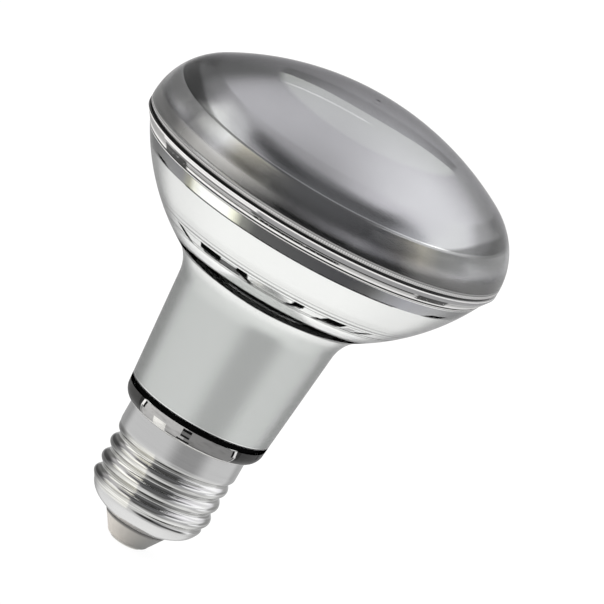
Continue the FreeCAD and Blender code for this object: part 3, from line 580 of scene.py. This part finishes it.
def glass_material(name, tint, details, marked=False):
    """Clear glass that lets the lamps light what lies behind it, with painted reflections and
    refractions at its edges.
    """
    material, graph = new_material(name)
    shader = principled(
        graph,
        Base_Color=tint,
        Roughness=graph.span(graph.noise(60.0), 0.3, 0.8, 0.0, 0.02),
        IOR=1.5,
        Transmission_Weight=1.0,
        Normal=graph.bump(graph.noise(18.0, 1.0), 0.02, 1.0 * MM),
    )
    height, angle = graph.place()
    outside = graph.calc("SUBTRACT", 1.0, graph.node("ShaderNodeNewGeometry").outputs["Backfacing"])
    passing = graph.node("ShaderNodeBsdfTransparent", {"Color": tint}).outputs[0]
    if marked:
        # Clear over the painted black reflections, so that no reflection greys them
        marks = black_marks(graph, height, angle, COATING.crescent_drop)
        shader = graph.layer(graph.product(marks, outside), shader, passing)
    for shown in details:
        cover, tone = shown(graph, height, angle)
        # Opaque skin that carries the painted reflections, refractions and highlights
        edge = principled(graph, Base_Color=tone, Roughness=0.22, Specular_IOR_Level=0.08)
        shader = graph.layer(graph.product(cover, outside), shader, edge)
    shadow = graph.node("ShaderNodeLightPath").outputs["Is Shadow Ray"]
    graph.finish(graph.layer(shadow, shader, passing))
    return material


def lens_tones(graph, height, angle):
    """Satin silver of the dome and, below its step, the side with painted reflection tones round it.
    """
    cloud = graph.noise(40.0, 2.0)
    dome = graph.mix(graph.span(cloud, 0.3, 0.7), (0.51, 0.51, 0.52), (0.55, 0.55, 0.56))
    low = graph.span(height, 85.8, 88.0, 1.0, 0.0)
    side = graph.mix(low, graph.ramp(angle, SIDE_REFLECTION_TONES), graph.ramp(angle, FOOT_REFLECTION_TONES))
    below = graph.span(height, LENS.step_z - 0.2, LENS.step_z + 0.1, 1.0, 0.0)
    return graph.mix(below, dome, side)


def satin_coating():
    """Satin silver on the inside of the front lens, with a painted reflection line and glint at the
    step, painted dark crescents on the flanks and a painted dark foot.
    """
    material, graph = new_material("satin_coating")
    height, angle = graph.place()
    grain = graph.noise(2600.0, 3.0)
    tone = lens_tones(graph, height, angle)
    # Painted reflection of the step's edge: a line dark on the left and lighter to the right
    rightward = graph.span(angle, -40.0, 0.0)
    line = graph.band(height, LENS.step_z - 0.25, LENS.step_z + 0.1, 0.12)
    tone = graph.mix(line, tone, graph.mix(rightward, grey(0.14), grey(0.40)))
    # Painted glint just above the step, on the right
    glint = graph.band(height, LENS.step_z + 0.05, LENS.step_z + 0.25, 0.12)
    tone = graph.mix(graph.product(glint, rightward), tone, grey(0.98))
    # Painted dark foot at the front, with a ragged top
    ragged = graph.calc("ADD", height, graph.span(grain, 0.3, 0.7, -0.25, 0.25))
    low = graph.span(ragged, LENS.shoulder_z + 0.1, LENS.shoulder_z + 1.9, 1.0, 0.0)
    tone = graph.mix(graph.product(low, graph.band(angle, -19.0, 38.0, 16.0)), tone, grey(0.04))
    # Painted dark crescents above the step on the flanks
    flank = graph.band(graph.calc("ABSOLUTE", angle), 55.0, 125.0, 40.0)
    rise = graph.calc("SUBTRACT", height, LENS.step_z)
    reach = graph.calc("SUBTRACT", graph.calc("MULTIPLY", flank, 2.4), rise)
    shade = graph.product(graph.span(rise, -0.1, 0.2), graph.span(reach, 0.0, 0.7), 0.85)
    tone = graph.mix(shade, tone, grey(0.12))
    rough = graph.span(grain, 0.2, 0.8, 0.115, 0.145)
    rough = graph.calc("ADD", rough, graph.span(height, LENS.step_z - 0.4, LENS.step_z, 0.05, 0.0))
    bumped = graph.bump(grain, 0.012)
    graph.finish(principled(graph, Base_Color=tone, Metallic=1.0, Roughness=rough, Normal=bumped))
    return material


def bowl_coating():
    """Satin neck below, mirror bowl above, with a painted black crescent between them and painted
    reflections.
    """
    material, graph = new_material("bowl_coating")
    height, angle = graph.place()
    mirror = graph.span(height, COATING.satin_z, COATING.mirror_z)
    tone = graph.mix(mirror, (0.665, 0.677, 0.667), (0.81, 0.81, 0.805))
    # Painted reflections: the dark ring under the seam, then rings and shapes of other tones
    ring = graph.band(height, COATING.ring_low, COATING.ring_high, 0.06)
    tone = graph.mix(ring, tone, graph.ramp(angle, RING_REFLECTION_TONES))
    for low, high, edge, colour in BOWL_REFLECTION_BANDS:
        tone = graph.mix(graph.band(height, low, high, edge), tone, colour)
    for left, right, low, high, lean, colour in TONED_REFLECTIONS:
        tone = graph.mix(graph.patch(height, angle, left, right, low, high, lean), tone, colour)
    shader = principled(
        graph,
        Base_Color=tone,
        Metallic=1.0,
        Roughness=graph.span(mirror, 0.0, 1.0, 0.19, 0.06),
        Normal=graph.bump(graph.noise(2600.0, 3.0), 0.012),
    )
    # Black of the painted dark reflections and of the black lower end
    painted_black = graph.node("ShaderNodeBsdfDiffuse", {"Color": grey(0.006)}).outputs[0]
    graph.finish(graph.layer(black_marks(graph, height, angle), shader, painted_black))
    return material


def cap_metal():
    """Nickel-plated sheet: satin collar and skirt, a thread with rolling polish and painted
    highlight and shade, turning marks.
    """
    material, graph = new_material("cap_metal")
    height, angle = graph.place()
    x, y, _ = graph.split()
    marks = graph.noise(260.0, 5.0, (0.35, 0.35, 9.0))
    rolled = graph.band(height, CAP.skirt_z - 0.4, CAP.collar_z - 0.6, 0.8)
    satin = graph.mix(marks, grey(0.60), grey(0.68))
    lines = graph.mix(graph.span(marks, 0.38, 0.60), (0.62, 0.62, 0.61), (0.88, 0.88, 0.87))
    # Painted highlight and shade on the thread's polish lines, lighter on its left
    polish_and_sheen = graph.mix(1.0, lines, graph.ramp(angle, THREAD_SHADING), "MULTIPLY")
    tone = graph.mix(rolled, satin, polish_and_sheen)
    radius = graph.calc("DIVIDE", graph.distance(x, y), MM)
    crest = graph.span(radius, CAP.thread - CAP.depth * 0.75, CAP.thread - CAP.depth * 0.3)
    # Painted dark reflection on the thread's crests far on the left
    left = graph.product(graph.span(angle, -58.0, -36.0, 1.0, 0.0), graph.span(angle, -110.0, -88.0))
    tone = graph.mix(graph.product(left, crest, rolled, 0.85), tone, grey(0.16))
    # Painted shade in the lowest thread groove at the front
    groove_shade = graph.product(graph.band(height, 9.3, 9.7, 0.2), graph.band(angle, -6.0, 52.0, 14.0))
    tone = graph.mix(groove_shade, tone, grey(0.10))
    rough = graph.span(marks, 0.2, 0.8, 0.14, 0.18)
    rough = graph.calc("SUBTRACT", rough, graph.product(rolled, 0.07))
    bumped = graph.bump(marks, 0.05)
    graph.finish(principled(graph, Base_Color=tone, Metallic=1.0, Roughness=rough, Normal=bumped))
    return material


def insulator_plastic():
    """Warm grey moulding, with painted shade: darker on its right and a painted shadow just under
    the cap.
    """
    material, graph = new_material("insulator")
    height, angle = graph.place()
    grain = graph.noise(900.0, 3.0)
    # Painted shading: lighter on the left, darker on the right
    tone = graph.mix(graph.span(angle, -60.0, 60.0), (0.86, 0.82, 0.765), (0.28, 0.28, 0.27))
    # Painted shadow just under the cap
    tone = graph.mix(graph.span(height, 4.1, 4.6), tone, (0.16, 0.155, 0.15))
    tone = graph.mix(graph.span(grain, 0.3, 0.7, 0.0, 0.12), tone, (0.42, 0.40, 0.38))
    shader = principled(
        graph,
        Base_Color=tone,
        Roughness=graph.span(grain, 0.2, 0.8, 0.38, 0.48),
        Normal=graph.bump(grain, 0.06),
    )
    graph.finish(shader)
    return material


def moulded(name, colour, shade, roughness, metallic=0.0):
    """A plain part material: two close tones, varied roughness and a fine grain."""
    material, graph = new_material(name)
    fine = graph.noise(500.0, 4.0)
    broad = graph.noise(500.0 / 9, 2.0)
    shader = principled(
        graph,
        Base_Color=graph.mix(graph.span(broad, 0.3, 0.7), colour, shade),
        Metallic=metallic,
        Roughness=graph.span(fine, 0.2, 0.8, roughness * 0.85, min(roughness * 1.15, 1.0)),
        Normal=graph.bump(fine, 0.08),
    )
    graph.finish(shader)
    return material


def arc(start, end, radius, steps):
    """Points after start up to end on an arc; a positive radius has its centre left of the way."""
    a = Vector(start)
    b = Vector(end)
    run = b - a
    half = run.length / 2
    rise = math.sqrt(max(radius * radius - half * half, 0.0))
    left = Vector((-run.y, run.x)).normalized()
    centre = (a + b) / 2 + left * math.copysign(rise, radius)
    from_centre = a - centre
    sweep = 2 * math.asin(min(half / abs(radius), 1.0))
    sweep = math.copysign(sweep, radius)
    points = []
    for step in range(1, steps + 1):
        turn = sweep * step / steps
        spun = Vector(
            (
                from_centre.x * math.cos(turn) - from_centre.y * math.sin(turn),
                from_centre.x * math.sin(turn) + from_centre.y * math.cos(turn),
            )
        )
        points.append(tuple(centre + spun))
    return points


def line(start, end, steps):
    """Points after start up to end on a straight line."""
    a = Vector(start)
    b = Vector(end)
    return [tuple(a.lerp(b, step / steps)) for step in range(1, steps + 1)]


def add_mesh(name, points, faces, material, sharp=25.0):
    """A smooth-shaded mesh object, given in millimetres, with creases kept at sharp edges."""
    mesh = bpy.data.meshes.new(name)
    mesh.from_pydata([tuple(value * MM for value in point) for point in points], [], faces)
    mesh.materials.append(material)
    mesh.validate()
    mesh.polygons.foreach_set("use_smooth", [True] * len(mesh.polygons))
    mesh.set_sharp_from_angle(angle=math.radians(sharp))
    made = bpy.data.objects.new(name, mesh)
    bpy.context.scene.collection.objects.link(made)
    return made


def lathe(name, profile, material, sharp=25.0):
    """A surface turned about the axis from (radius, height) points; only its last may be on it."""
    points = []
    rings = []
    for radius, height in profile:
        if radius < 1e-6:
            rings.append([len(points)])
            points.append((0.0, 0.0, height))
            continue
        rings.append(list(range(len(points), len(points) + TURN_STEPS)))
        for step in range(TURN_STEPS):
            turn = 2 * math.pi * step / TURN_STEPS
            points.append((radius * math.cos(turn), radius * math.sin(turn), height))
    faces = []
    for low, high in zip(rings, rings[1:]):
        for step in range(TURN_STEPS):
            after = (step + 1) % TURN_STEPS
            if len(high) == 1:
                faces.append((low[step], low[after], high[0]))
            else:
                faces.append((low[step], low[after], high[after], high[step]))
    return add_mesh(name, points, faces, material, sharp)


def glass_centres():
    """Centres of the bowl arc and of the fillet that leads it into the neck cone."""
    slope = math.radians(GLASS.rim_slope)
    taper = math.radians(GLASS.taper)
    bowl_radius = GLASS.rim - GLASS.bowl * math.cos(slope)
    bowl = Vector((bowl_radius, GLASS.rim_z + GLASS.bowl * math.sin(slope)))
    along = Vector((math.sin(taper), math.cos(taper)))
    out = Vector((math.cos(taper), -math.sin(taper)))
    start = Vector((GLASS.neck, GLASS.end_z + GLASS.curl)) + out * GLASS.fillet
    line_start = start - bowl
    reach = GLASS.bowl + GLASS.fillet
    toward = line_start.dot(along)
    run = -toward - math.sqrt(toward * toward - line_start.length_squared + reach * reach)
    return bowl, start + along * run


def glass_wall(depth):
    """Profile of the neck, fillet and bowl at a depth below the outer skin, from the neck up."""
    bowl, fillet = glass_centres()
    taper = math.radians(GLASS.taper)
    slope = math.radians(GLASS.rim_slope)
    start = (GLASS.neck - depth, GLASS.end_z + GLASS.curl + depth * math.sin(taper))
    neck = tuple(fillet + (GLASS.fillet + depth) * Vector((-math.cos(taper), math.sin(taper))))
    foot = tuple(bowl + (fillet - bowl) * ((GLASS.bowl - depth) / (GLASS.bowl + GLASS.fillet)))
    rim = tuple(bowl + (GLASS.bowl - depth) * Vector((math.cos(slope), -math.sin(slope))))
    profile = [start]
    profile += line(start, neck, 24)
    profile += arc(neck, foot, -(GLASS.fillet + depth), 40)
    profile += arc(foot, rim, GLASS.bowl - depth, 64)
    return profile


def bowl_glass_profile():
    """Outer skin of neck, bowl and flange, and the clear inner skin of the curled neck end."""
    opening = CAP.collar + GLASS.lip
    inner = [(GLASS.neck - GLASS.wall, GLASS.end_z + GLASS.curl + 1.6)]
    inner += [(GLASS.neck - GLASS.wall, GLASS.end_z + GLASS.curl + 0.13)]
    inner += arc(inner[-1], (opening, GLASS.end_z + GLASS.wall), GLASS.wall - GLASS.curl, 8)
    end = (opening, GLASS.end_z)
    lip = (opening + GLASS.lip, GLASS.end_z)
    shoulder = (GLASS.neck, GLASS.end_z + GLASS.curl)
    outer = inner + [end, lip]
    outer += arc(lip, shoulder, GLASS.curl + GLASS.lip, 16)
    outer += glass_wall(0.0)[1:]
    flare = (LENS.radius, GLASS.rim_z + GLASS.flange_rise)
    outer += line(outer[-1], flare, 6)
    flange_top = flare[1] + GLASS.flange_edge
    outer += [(LENS.radius, flange_top), (GLASS.flange_bore, flange_top)]
    return outer


def coating_profile():
    """Inner skin of neck and bowl, where the coating lies."""
    kept = [point for point in glass_wall(GLASS.wall) if point[1] > COATING.foot_z]
    run = (kept[0][1] - COATING.foot_z) * math.tan(math.radians(GLASS.taper))
    first = (kept[0][0] - run, COATING.foot_z)
    top = (kept[-1][0], GLASS.rim_z + GLASS.flange_rise + GLASS.flange_edge - 0.02)
    return [first] + kept + line(kept[-1], top, 6)


def cap_radius(reach, rise):
    """Radius of the arc that rises from a reach beside the axis to its top on the axis."""
    return (reach**2 + rise**2) / (2 * rise)


def lens_profiles():
    """Outer skin with the gate pip, and the stepped inner skin that carries the coating."""
    dome = cap_radius(LENS.crease, LENS.rise)
    apex = LENS.crease_z + LENS.rise
    crease = (LENS.crease, LENS.crease_z)
    outer = [(LENS.radius - LENS.wall, LENS.foot_z), (LENS.radius - LENS.edge, LENS.foot_z)]
    outer += [(LENS.radius, LENS.foot_z + LENS.edge), (LENS.radius, LENS.shoulder_z)]
    outer += arc(outer[-1], crease, LENS.shoulder, 40)
    outer += arc(crease, (0.0, apex), dome, 96)
    outer = [point for point in outer if point[0] > LENS.pip or point[1] < apex - 1]
    outer += [(LENS.pip, apex - LENS.pip**2 / (2 * dome)), (LENS.pip * 0.4, apex + LENS.pip_rise)]
    outer += [(0.0, apex + LENS.pip_rise)]
    step = (LENS.step, LENS.step_z)
    vault = (LENS.vault, LENS.vault_z)
    vault_top = apex - LENS.crown
    foot = (LENS.radius - LENS.wall, LENS.shoulder_z)
    inner = [(LENS.radius - LENS.wall, LENS.foot_z + 0.02), foot]
    inner += arc(foot, step, -LENS.hollow, 24)
    inner += arc(step, vault, LENS.vault_bend, 32)
    inner += arc(vault, (0.0, vault_top), cap_radius(LENS.vault, vault_top - LENS.vault_z), 96)
    return outer, inner


def ease(share):
    """Smooth step from 0 to 1."""
    share = min(max(share, 0.0), 1.0)
    return share * share * (3 - 2 * share)


def cap_rows():
    """Radius and height along the unthreaded shell, skirt first."""
    opening = Vector((CAP.opening, CAP.opening_z))
    shoulder = Vector((CAP.skirt, CAP.skirt_z))
    run = shoulder - opening
    out = Vector((run.y, -run.x)).normalized()
    rows = []
    for step in range(16):
        share = step / 16
        bulge = out * CAP.skirt_bulge * math.sin(math.pi * share) * (0.5 + share)
        rows.append(opening + run * share + bulge)
    mean = CAP.thread - CAP.depth / 2
    count = round((CAP.top_z - CAP.skirt_z) / CAP.pitch * ROWS_PER_PITCH)
    for step in range(count + 1):
        height = CAP.skirt_z + (CAP.top_z - CAP.skirt_z) * step / count
        low = ease((height - CAP.skirt_z) / CAP.skirt_blend)
        high = ease((height - CAP.collar_z) / CAP.collar_blend + 1)
        radius = CAP.skirt + (mean - CAP.skirt) * low + (CAP.collar - mean) * high
        rows.append(Vector((radius, height)))
    return rows


def thread_wave(height, turn):
    """How far the rolled thread stands out at a height and a share of a turn."""
    rise = height - CAP.skirt_z
    phase = 2 * math.pi * ((rise - CAP.phase) / CAP.pitch - turn)
    wave = CAP.depth / 2 * math.cos(phase) - CAP.crest_flat * math.cos(2 * phase)
    start = ease((rise + CAP.lead) / CAP.run_in)
    finish = ease((CAP.collar_z - height) / CAP.run_out)
    return wave * start * finish


def rolled_shell(material):
    """The cap's outer skin with its thread, closed over its top edge."""
    rows = cap_rows()
    points = []
    for row in rows:
        for column in range(TURN_STEPS):
            turn = column / TURN_STEPS
            radius = row.x + thread_wave(row.y, turn)
            angle = 2 * math.pi * turn
            points.append((radius * math.cos(angle), radius * math.sin(angle), row.y))
    inner = CAP.collar - CAP.wall
    for column in range(TURN_STEPS):
        angle = 2 * math.pi * column / TURN_STEPS
        points.append((inner * math.cos(angle), inner * math.sin(angle), CAP.top_z))
    faces = []
    for row in range(len(rows)):
        low = row * TURN_STEPS
        high = low + TURN_STEPS
        for column in range(TURN_STEPS):
            after = (column + 1) % TURN_STEPS
            faces.append((low + column, low + after, high + after, high + column))
    return add_mesh("rolled_shell", points, faces, material, 40.0)


def sky_places(graph):
    """A ray's angles, and how many degrees across and back it points from straight overhead."""
    right, rear, lift = graph.split("Generated")
    elevation = graph.calc("DEGREES", graph.calc("ARCSINE", lift))
    flat = graph.calc("SQRT", graph.calc("SUBTRACT", 1.0001, graph.calc("MULTIPLY", lift, lift)))
    fall = graph.calc("DIVIDE", graph.calc("SUBTRACT", 90.0, elevation), flat)
    return SimpleNamespace(
        right=right,
        azimuth=graph.bearing(right, rear),
        elevation=elevation,
        across=graph.calc("MULTIPLY", right, fall),
        back=graph.calc("MULTIPLY", rear, fall),
    )


def studio_walls(graph, sky):
    """Dark front and rear walls between a grey wall on the left and a pale one on the right."""
    wide = graph.calc("ABSOLUTE", graph.calc("SUBTRACT", sky.across, 2.0))
    right_wall = graph.mix(graph.span(sky.back, -6.0, 8.0), (0.60, 0.60, 0.63), (1.22, 1.22, 1.25))
    wall = graph.mix(graph.span(sky.across, -10.0, 10.0), (0.52, 0.51, 0.53), right_wall)
    dark = graph.mix(graph.span(sky.elevation, 30.0, 44.0), grey(0.16), (0.22, 0.22, 0.23))
    return graph.mix(graph.span(wide, 31.0, 44.0), dark, wall)


def ceiling_light(graph, sky, room):
    """A large oval light overhead, brighter to the right, in a room that darkens to the rear."""
    left = graph.mix(graph.span(sky.back, -4.0, 24.0), (0.55, 0.54, 0.56), (0.80, 0.79, 0.82))
    right = graph.mix(graph.span(sky.back, -8.0, 16.0), (1.05, 1.03, 1.08), (1.25, 1.24, 1.28))
    light = graph.mix(graph.span(sky.across, -8.0, 28.0), left, right)
    front_part = graph.calc("MINIMUM", sky.back, 20.0)
    lit = graph.oval(sky.across, front_part, (3.0, 20.0), (45.0, 39.0), 0.07)
    room = graph.mix(lit, room, light)
    return graph.mix(graph.span(sky.back, 34.0, 76.0, 0.0, 0.46), room, grey(0.0))


def front_edge(graph, sky, room):
    """The dark front edge of the ceiling light, and a bright strip on its left."""
    radius = graph.distance(sky.across, graph.calc("SUBTRACT", sky.back, 14.0))
    share = graph.product(
        graph.band(radius, 38.5, 47.0, 5.0),
        graph.band(sky.across, -42.0, 36.0, 8.0),
        graph.span(sky.back, -4.0, 4.0, 1.0, 0.0),
        graph.span(sky.across, -28.0, 0.0, 0.8, 0.45),
    )
    room = graph.mix(share, room, grey(0.03))
    strip = graph.oval(sky.across, sky.back, (-50.0, 2.0), (6.5, 18.0), 0.3)
    return graph.mix(strip, room, (0.95, 0.95, 0.96))


def lamp_behind(graph, sky, room, bare):
    """A lens-shaped lamp under a dark hood, with a bright rim; only bare glass mirrors it."""
    square = graph.calc("MULTIPLY", sky.across, sky.across)
    arch = graph.calc("ADD", graph.calc("MULTIPLY", square, LAMP.arch_bend), LAMP.arch_back)
    over = graph.span(graph.calc("SUBTRACT", sky.back, arch), -0.5, 0.5)
    glow = graph.oval(sky.across, sky.back, LAMP.centre, LAMP.half, 0.06)
    glow = graph.product(glow, graph.calc("SUBTRACT", 1.0, over), bare)
    room = graph.mix(glow, room, (1.40, 1.46, 1.38))
    top = graph.calc("SUBTRACT", graph.calc("ADD", arch, LAMP.hood_depth), sky.back)
    lean = graph.calc("MULTIPLY", graph.calc("SUBTRACT", sky.back, LAMP.hood_back), LAMP.hood_lean)
    side = graph.calc("ADD", lean, graph.calc("ABSOLUTE", sky.across))
    narrow = graph.span(side, LAMP.hood_half, LAMP.hood_half + 1.0, 1.0, 0.0)
    hood = graph.product(graph.span(top, 0.0, 5.0), narrow, over, bare)
    room = graph.mix(hood, room, grey(0.20))
    bow = graph.calc("ADD", graph.calc("MULTIPLY", square, LAMP.rim_bend), LAMP.rim_back)
    rim = graph.band(graph.calc("SUBTRACT", sky.back, bow), -0.5, 0.5, 0.5)
    rim = graph.product(rim, graph.band(sky.across, -LAMP.rim_half, 0.0, 3.0), bare)
    return graph.mix(rim, room, grey(3.0))


def white_floor(graph, sky, room):
    """Pale floor below the horizon, with a few shades on it."""
    floor = graph.mix(graph.span(sky.elevation, -34.0, -13.0), (0.98, 0.98, 0.975), grey(0.80))
    floor = graph.mix(graph.span(sky.elevation, -70.0, -36.0), (1.14, 1.14, 1.13), floor)
    room = graph.mix(graph.span(sky.elevation, -8.0, -2.0, 1.0, 0.0), room, floor)
    for shade in FLOOR_SHADES:
        room = graph.panel(sky, room, *shade)
    return room


def studio_world():
    """White to the camera; to metal and glass a room with ceiling light, panels, lamp and floor."""
    world = bpy.data.worlds.new("studio")
    world.use_nodes = True
    graph = Graph(world.node_tree)
    sky = sky_places(graph)
    rays = graph.node("ShaderNodeLightPath").outputs
    bare = graph.calc("SUBTRACT", 1.0, graph.calc("MINIMUM", rays["Transmission Depth"], 1.0))
    room = studio_walls(graph, sky)
    room = ceiling_light(graph, sky, room)
    room = front_edge(graph, sky, room)
    for panel in SIDE_PANELS:
        room = graph.panel(sky, room, *panel)
    room = lamp_behind(graph, sky, room, bare)
    room = white_floor(graph, sky, room)
    turned = graph.span(sky.right, -0.8, 0.8, kind="LINEAR")
    key = graph.mix(turned, (1.35, 1.32, 1.28), (0.60, 0.60, 0.61))
    room = graph.mix(rays["Is Diffuse Ray"], room, key)
    seen = graph.mix(rays["Is Camera Ray"], room, grey(1.0))
    background = graph.node("ShaderNodeBackground", {"Color": seen, "Strength": 1.0}).outputs[0]
    graph.finish(background, "ShaderNodeOutputWorld")
    bpy.context.scene.world = world


def studio_floor():
    """Pale floor just under the contact: white to the camera, with a faint shadow."""
    material, graph = new_material("floor")
    pale = graph.node("ShaderNodeBsdfDiffuse", {"Color": grey(0.85)}).outputs[0]
    white = graph.node("ShaderNodeEmission", {"Color": grey(1.0), "Strength": 0.93}).outputs[0]
    weak = graph.node("ShaderNodeBsdfDiffuse", {"Color": grey(0.14)}).outputs[0]
    shown = graph.node("ShaderNodeAddShader", {0: white, 1: weak}).outputs[0]
    camera_ray = graph.node("ShaderNodeLightPath").outputs["Is Camera Ray"]
    graph.finish(graph.layer(camera_ray, pale, shown))
    half = FLOOR_HALF
    corners = [(-half, -half, 0.0), (half, -half, 0.0), (half, half, 0.0), (-half, half, 0.0)]
    floor = add_mesh("floor", corners, [(0, 1, 2, 3)], material)
    floor.visible_glossy = False
    floor.visible_transmission = False


def photo_camera():
    """The photograph's view: slightly from above, rolled so that the lamp leans to the right."""
    elevation = math.radians(PHOTO_ELEVATION)
    roll = math.radians(PHOTO_ROLL)
    forward = Vector((0, math.cos(elevation), -math.sin(elevation)))
    up = Vector((0, math.sin(elevation), math.cos(elevation)))
    right = Vector((1, 0, 0))
    across = right * math.cos(roll) + up * math.sin(roll)
    upward = up * math.cos(roll) - right * math.sin(roll)
    aim = Vector((0, 0, PHOTO_AIM_HEIGHT)) + across * PHOTO_AIM_RIGHT + upward * PHOTO_AIM_UP
    data = bpy.data.cameras.new("photo_camera")
    data.sensor_width = SENSOR
    data.lens = SENSOR * CAMERA_DISTANCE / (PHOTO_SPAN * MM)
    camera = bpy.data.objects.new("photo_camera", data)
    bpy.context.scene.collection.objects.link(camera)
    turn = Matrix((across, upward, -forward)).transposed().to_4x4()
    camera.matrix_world = Matrix.Translation(aim * MM - forward * CAMERA_DISTANCE) @ turn
    bpy.context.scene.camera = camera


def dress(node, material):
    """Gives a CAD node its finish."""
    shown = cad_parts[node]
    shown.data.materials.clear()
    shown.data.materials.append(material)


def glass_pieces():
    """Clear glass with the coatings that lie on its inner side."""
    outer, inner = lens_profiles()
    clear = glass_material("lens_clear", (0.97, 0.98, 0.975), (seam_tones,))
    lens = lathe("lens_glass", outer, clear)
    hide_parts("front_lens")
    coat = lathe("lens_coating", inner, satin_coating(), sharp=12.0)
    clear = glass_material("bowl_clear", (0.975, 0.985, 0.98), (seam_tones, neck_end_tones), True)
    bowl = lathe("bowl_glass", bowl_glass_profile(), clear)
    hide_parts("reflector_glass")
    mirror = lathe("bowl_mirror", coating_profile(), bowl_coating())
    for piece in (lens, coat, bowl, mirror):
        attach(piece, "root")


def cap_pieces():
    """Rolled shell, insulator and contact."""
    metal = cap_metal()
    shell = rolled_shell(metal)
    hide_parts("cap_shell")
    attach(shell, "root")
    dress("cap_insulator", insulator_plastic())
    dress("centre_contact", moulded("contact", (0.62, 0.60, 0.56), (0.5, 0.49, 0.46), 0.3, 1.0))


def inner_parts():
    """Finishes of the CAD nodes inside the lamp."""
    dress("seam_adhesive", moulded("seam_black", grey(0.012), grey(0.02), 0.3))
    dress("driver_housing", moulded("housing", (0.52, 0.52, 0.51), (0.6, 0.6, 0.59), 0.32))
    plain = {
        "heat_sink": ((0.75, 0.75, 0.76), (0.66, 0.66, 0.67), 0.4, 1.0),
        "thermal_pad": ((0.45, 0.5, 0.55), (0.4, 0.45, 0.5), 0.7, 0.0),
        "led_board": ((0.85, 0.85, 0.83), (0.8, 0.8, 0.78), 0.45, 0.0),
        "led_chips": ((0.85, 0.68, 0.2), (0.8, 0.6, 0.15), 0.35, 0.0),
        "led_board_screws": (grey(0.6), grey(0.5), 0.3, 1.0),
        "driver_board": ((0.05, 0.2, 0.09), (0.04, 0.16, 0.07), 0.5, 0.0),
        "transformer_core": ((0.05, 0.05, 0.055), grey(0.03), 0.6, 0.0),
        "transformer_bobbin": (grey(0.06), grey(0.04), 0.45, 0.0),
        "transformer_winding": ((0.6, 0.25, 0.1), (0.5, 0.2, 0.08), 0.35, 0.6),
        "bulk_capacitor": ((0.03, 0.05, 0.12), (0.025, 0.04, 0.1), 0.35, 0.0),
        "output_capacitor": ((0.03, 0.05, 0.12), (0.025, 0.04, 0.1), 0.35, 0.0),
        "filter_choke": (grey(0.07), grey(0.05), 0.6, 0.0),
        "fuse_resistor": ((0.5, 0.35, 0.2), (0.45, 0.3, 0.17), 0.5, 0.0),
        "film_capacitor": ((0.5, 0.08, 0.05), (0.42, 0.06, 0.04), 0.4, 0.0),
        "bridge_rectifier": (grey(0.03), grey(0.045), 0.5, 0.0),
        "control_chip": (grey(0.03), grey(0.045), 0.5, 0.0),
        "live_wire": ((0.25, 0.1, 0.05), (0.2, 0.08, 0.04), 0.5, 0.0),
        "neutral_wire": ((0.05, 0.1, 0.4), (0.04, 0.08, 0.33), 0.5, 0.0),
        "led_wires": (grey(0.8), (0.74, 0.74, 0.73), 0.5, 0.0),
    }
    for node, (colour, shade, roughness, metallic) in plain.items():
        dress(node, moulded(node, colour, shade, roughness, metallic))


bpy.context.scene.view_settings.view_transform = "Standard"
photo_camera()
studio_world()
studio_floor()
glass_pieces()
cap_pieces()
inner_parts()

bpy.context.view_layer.update()
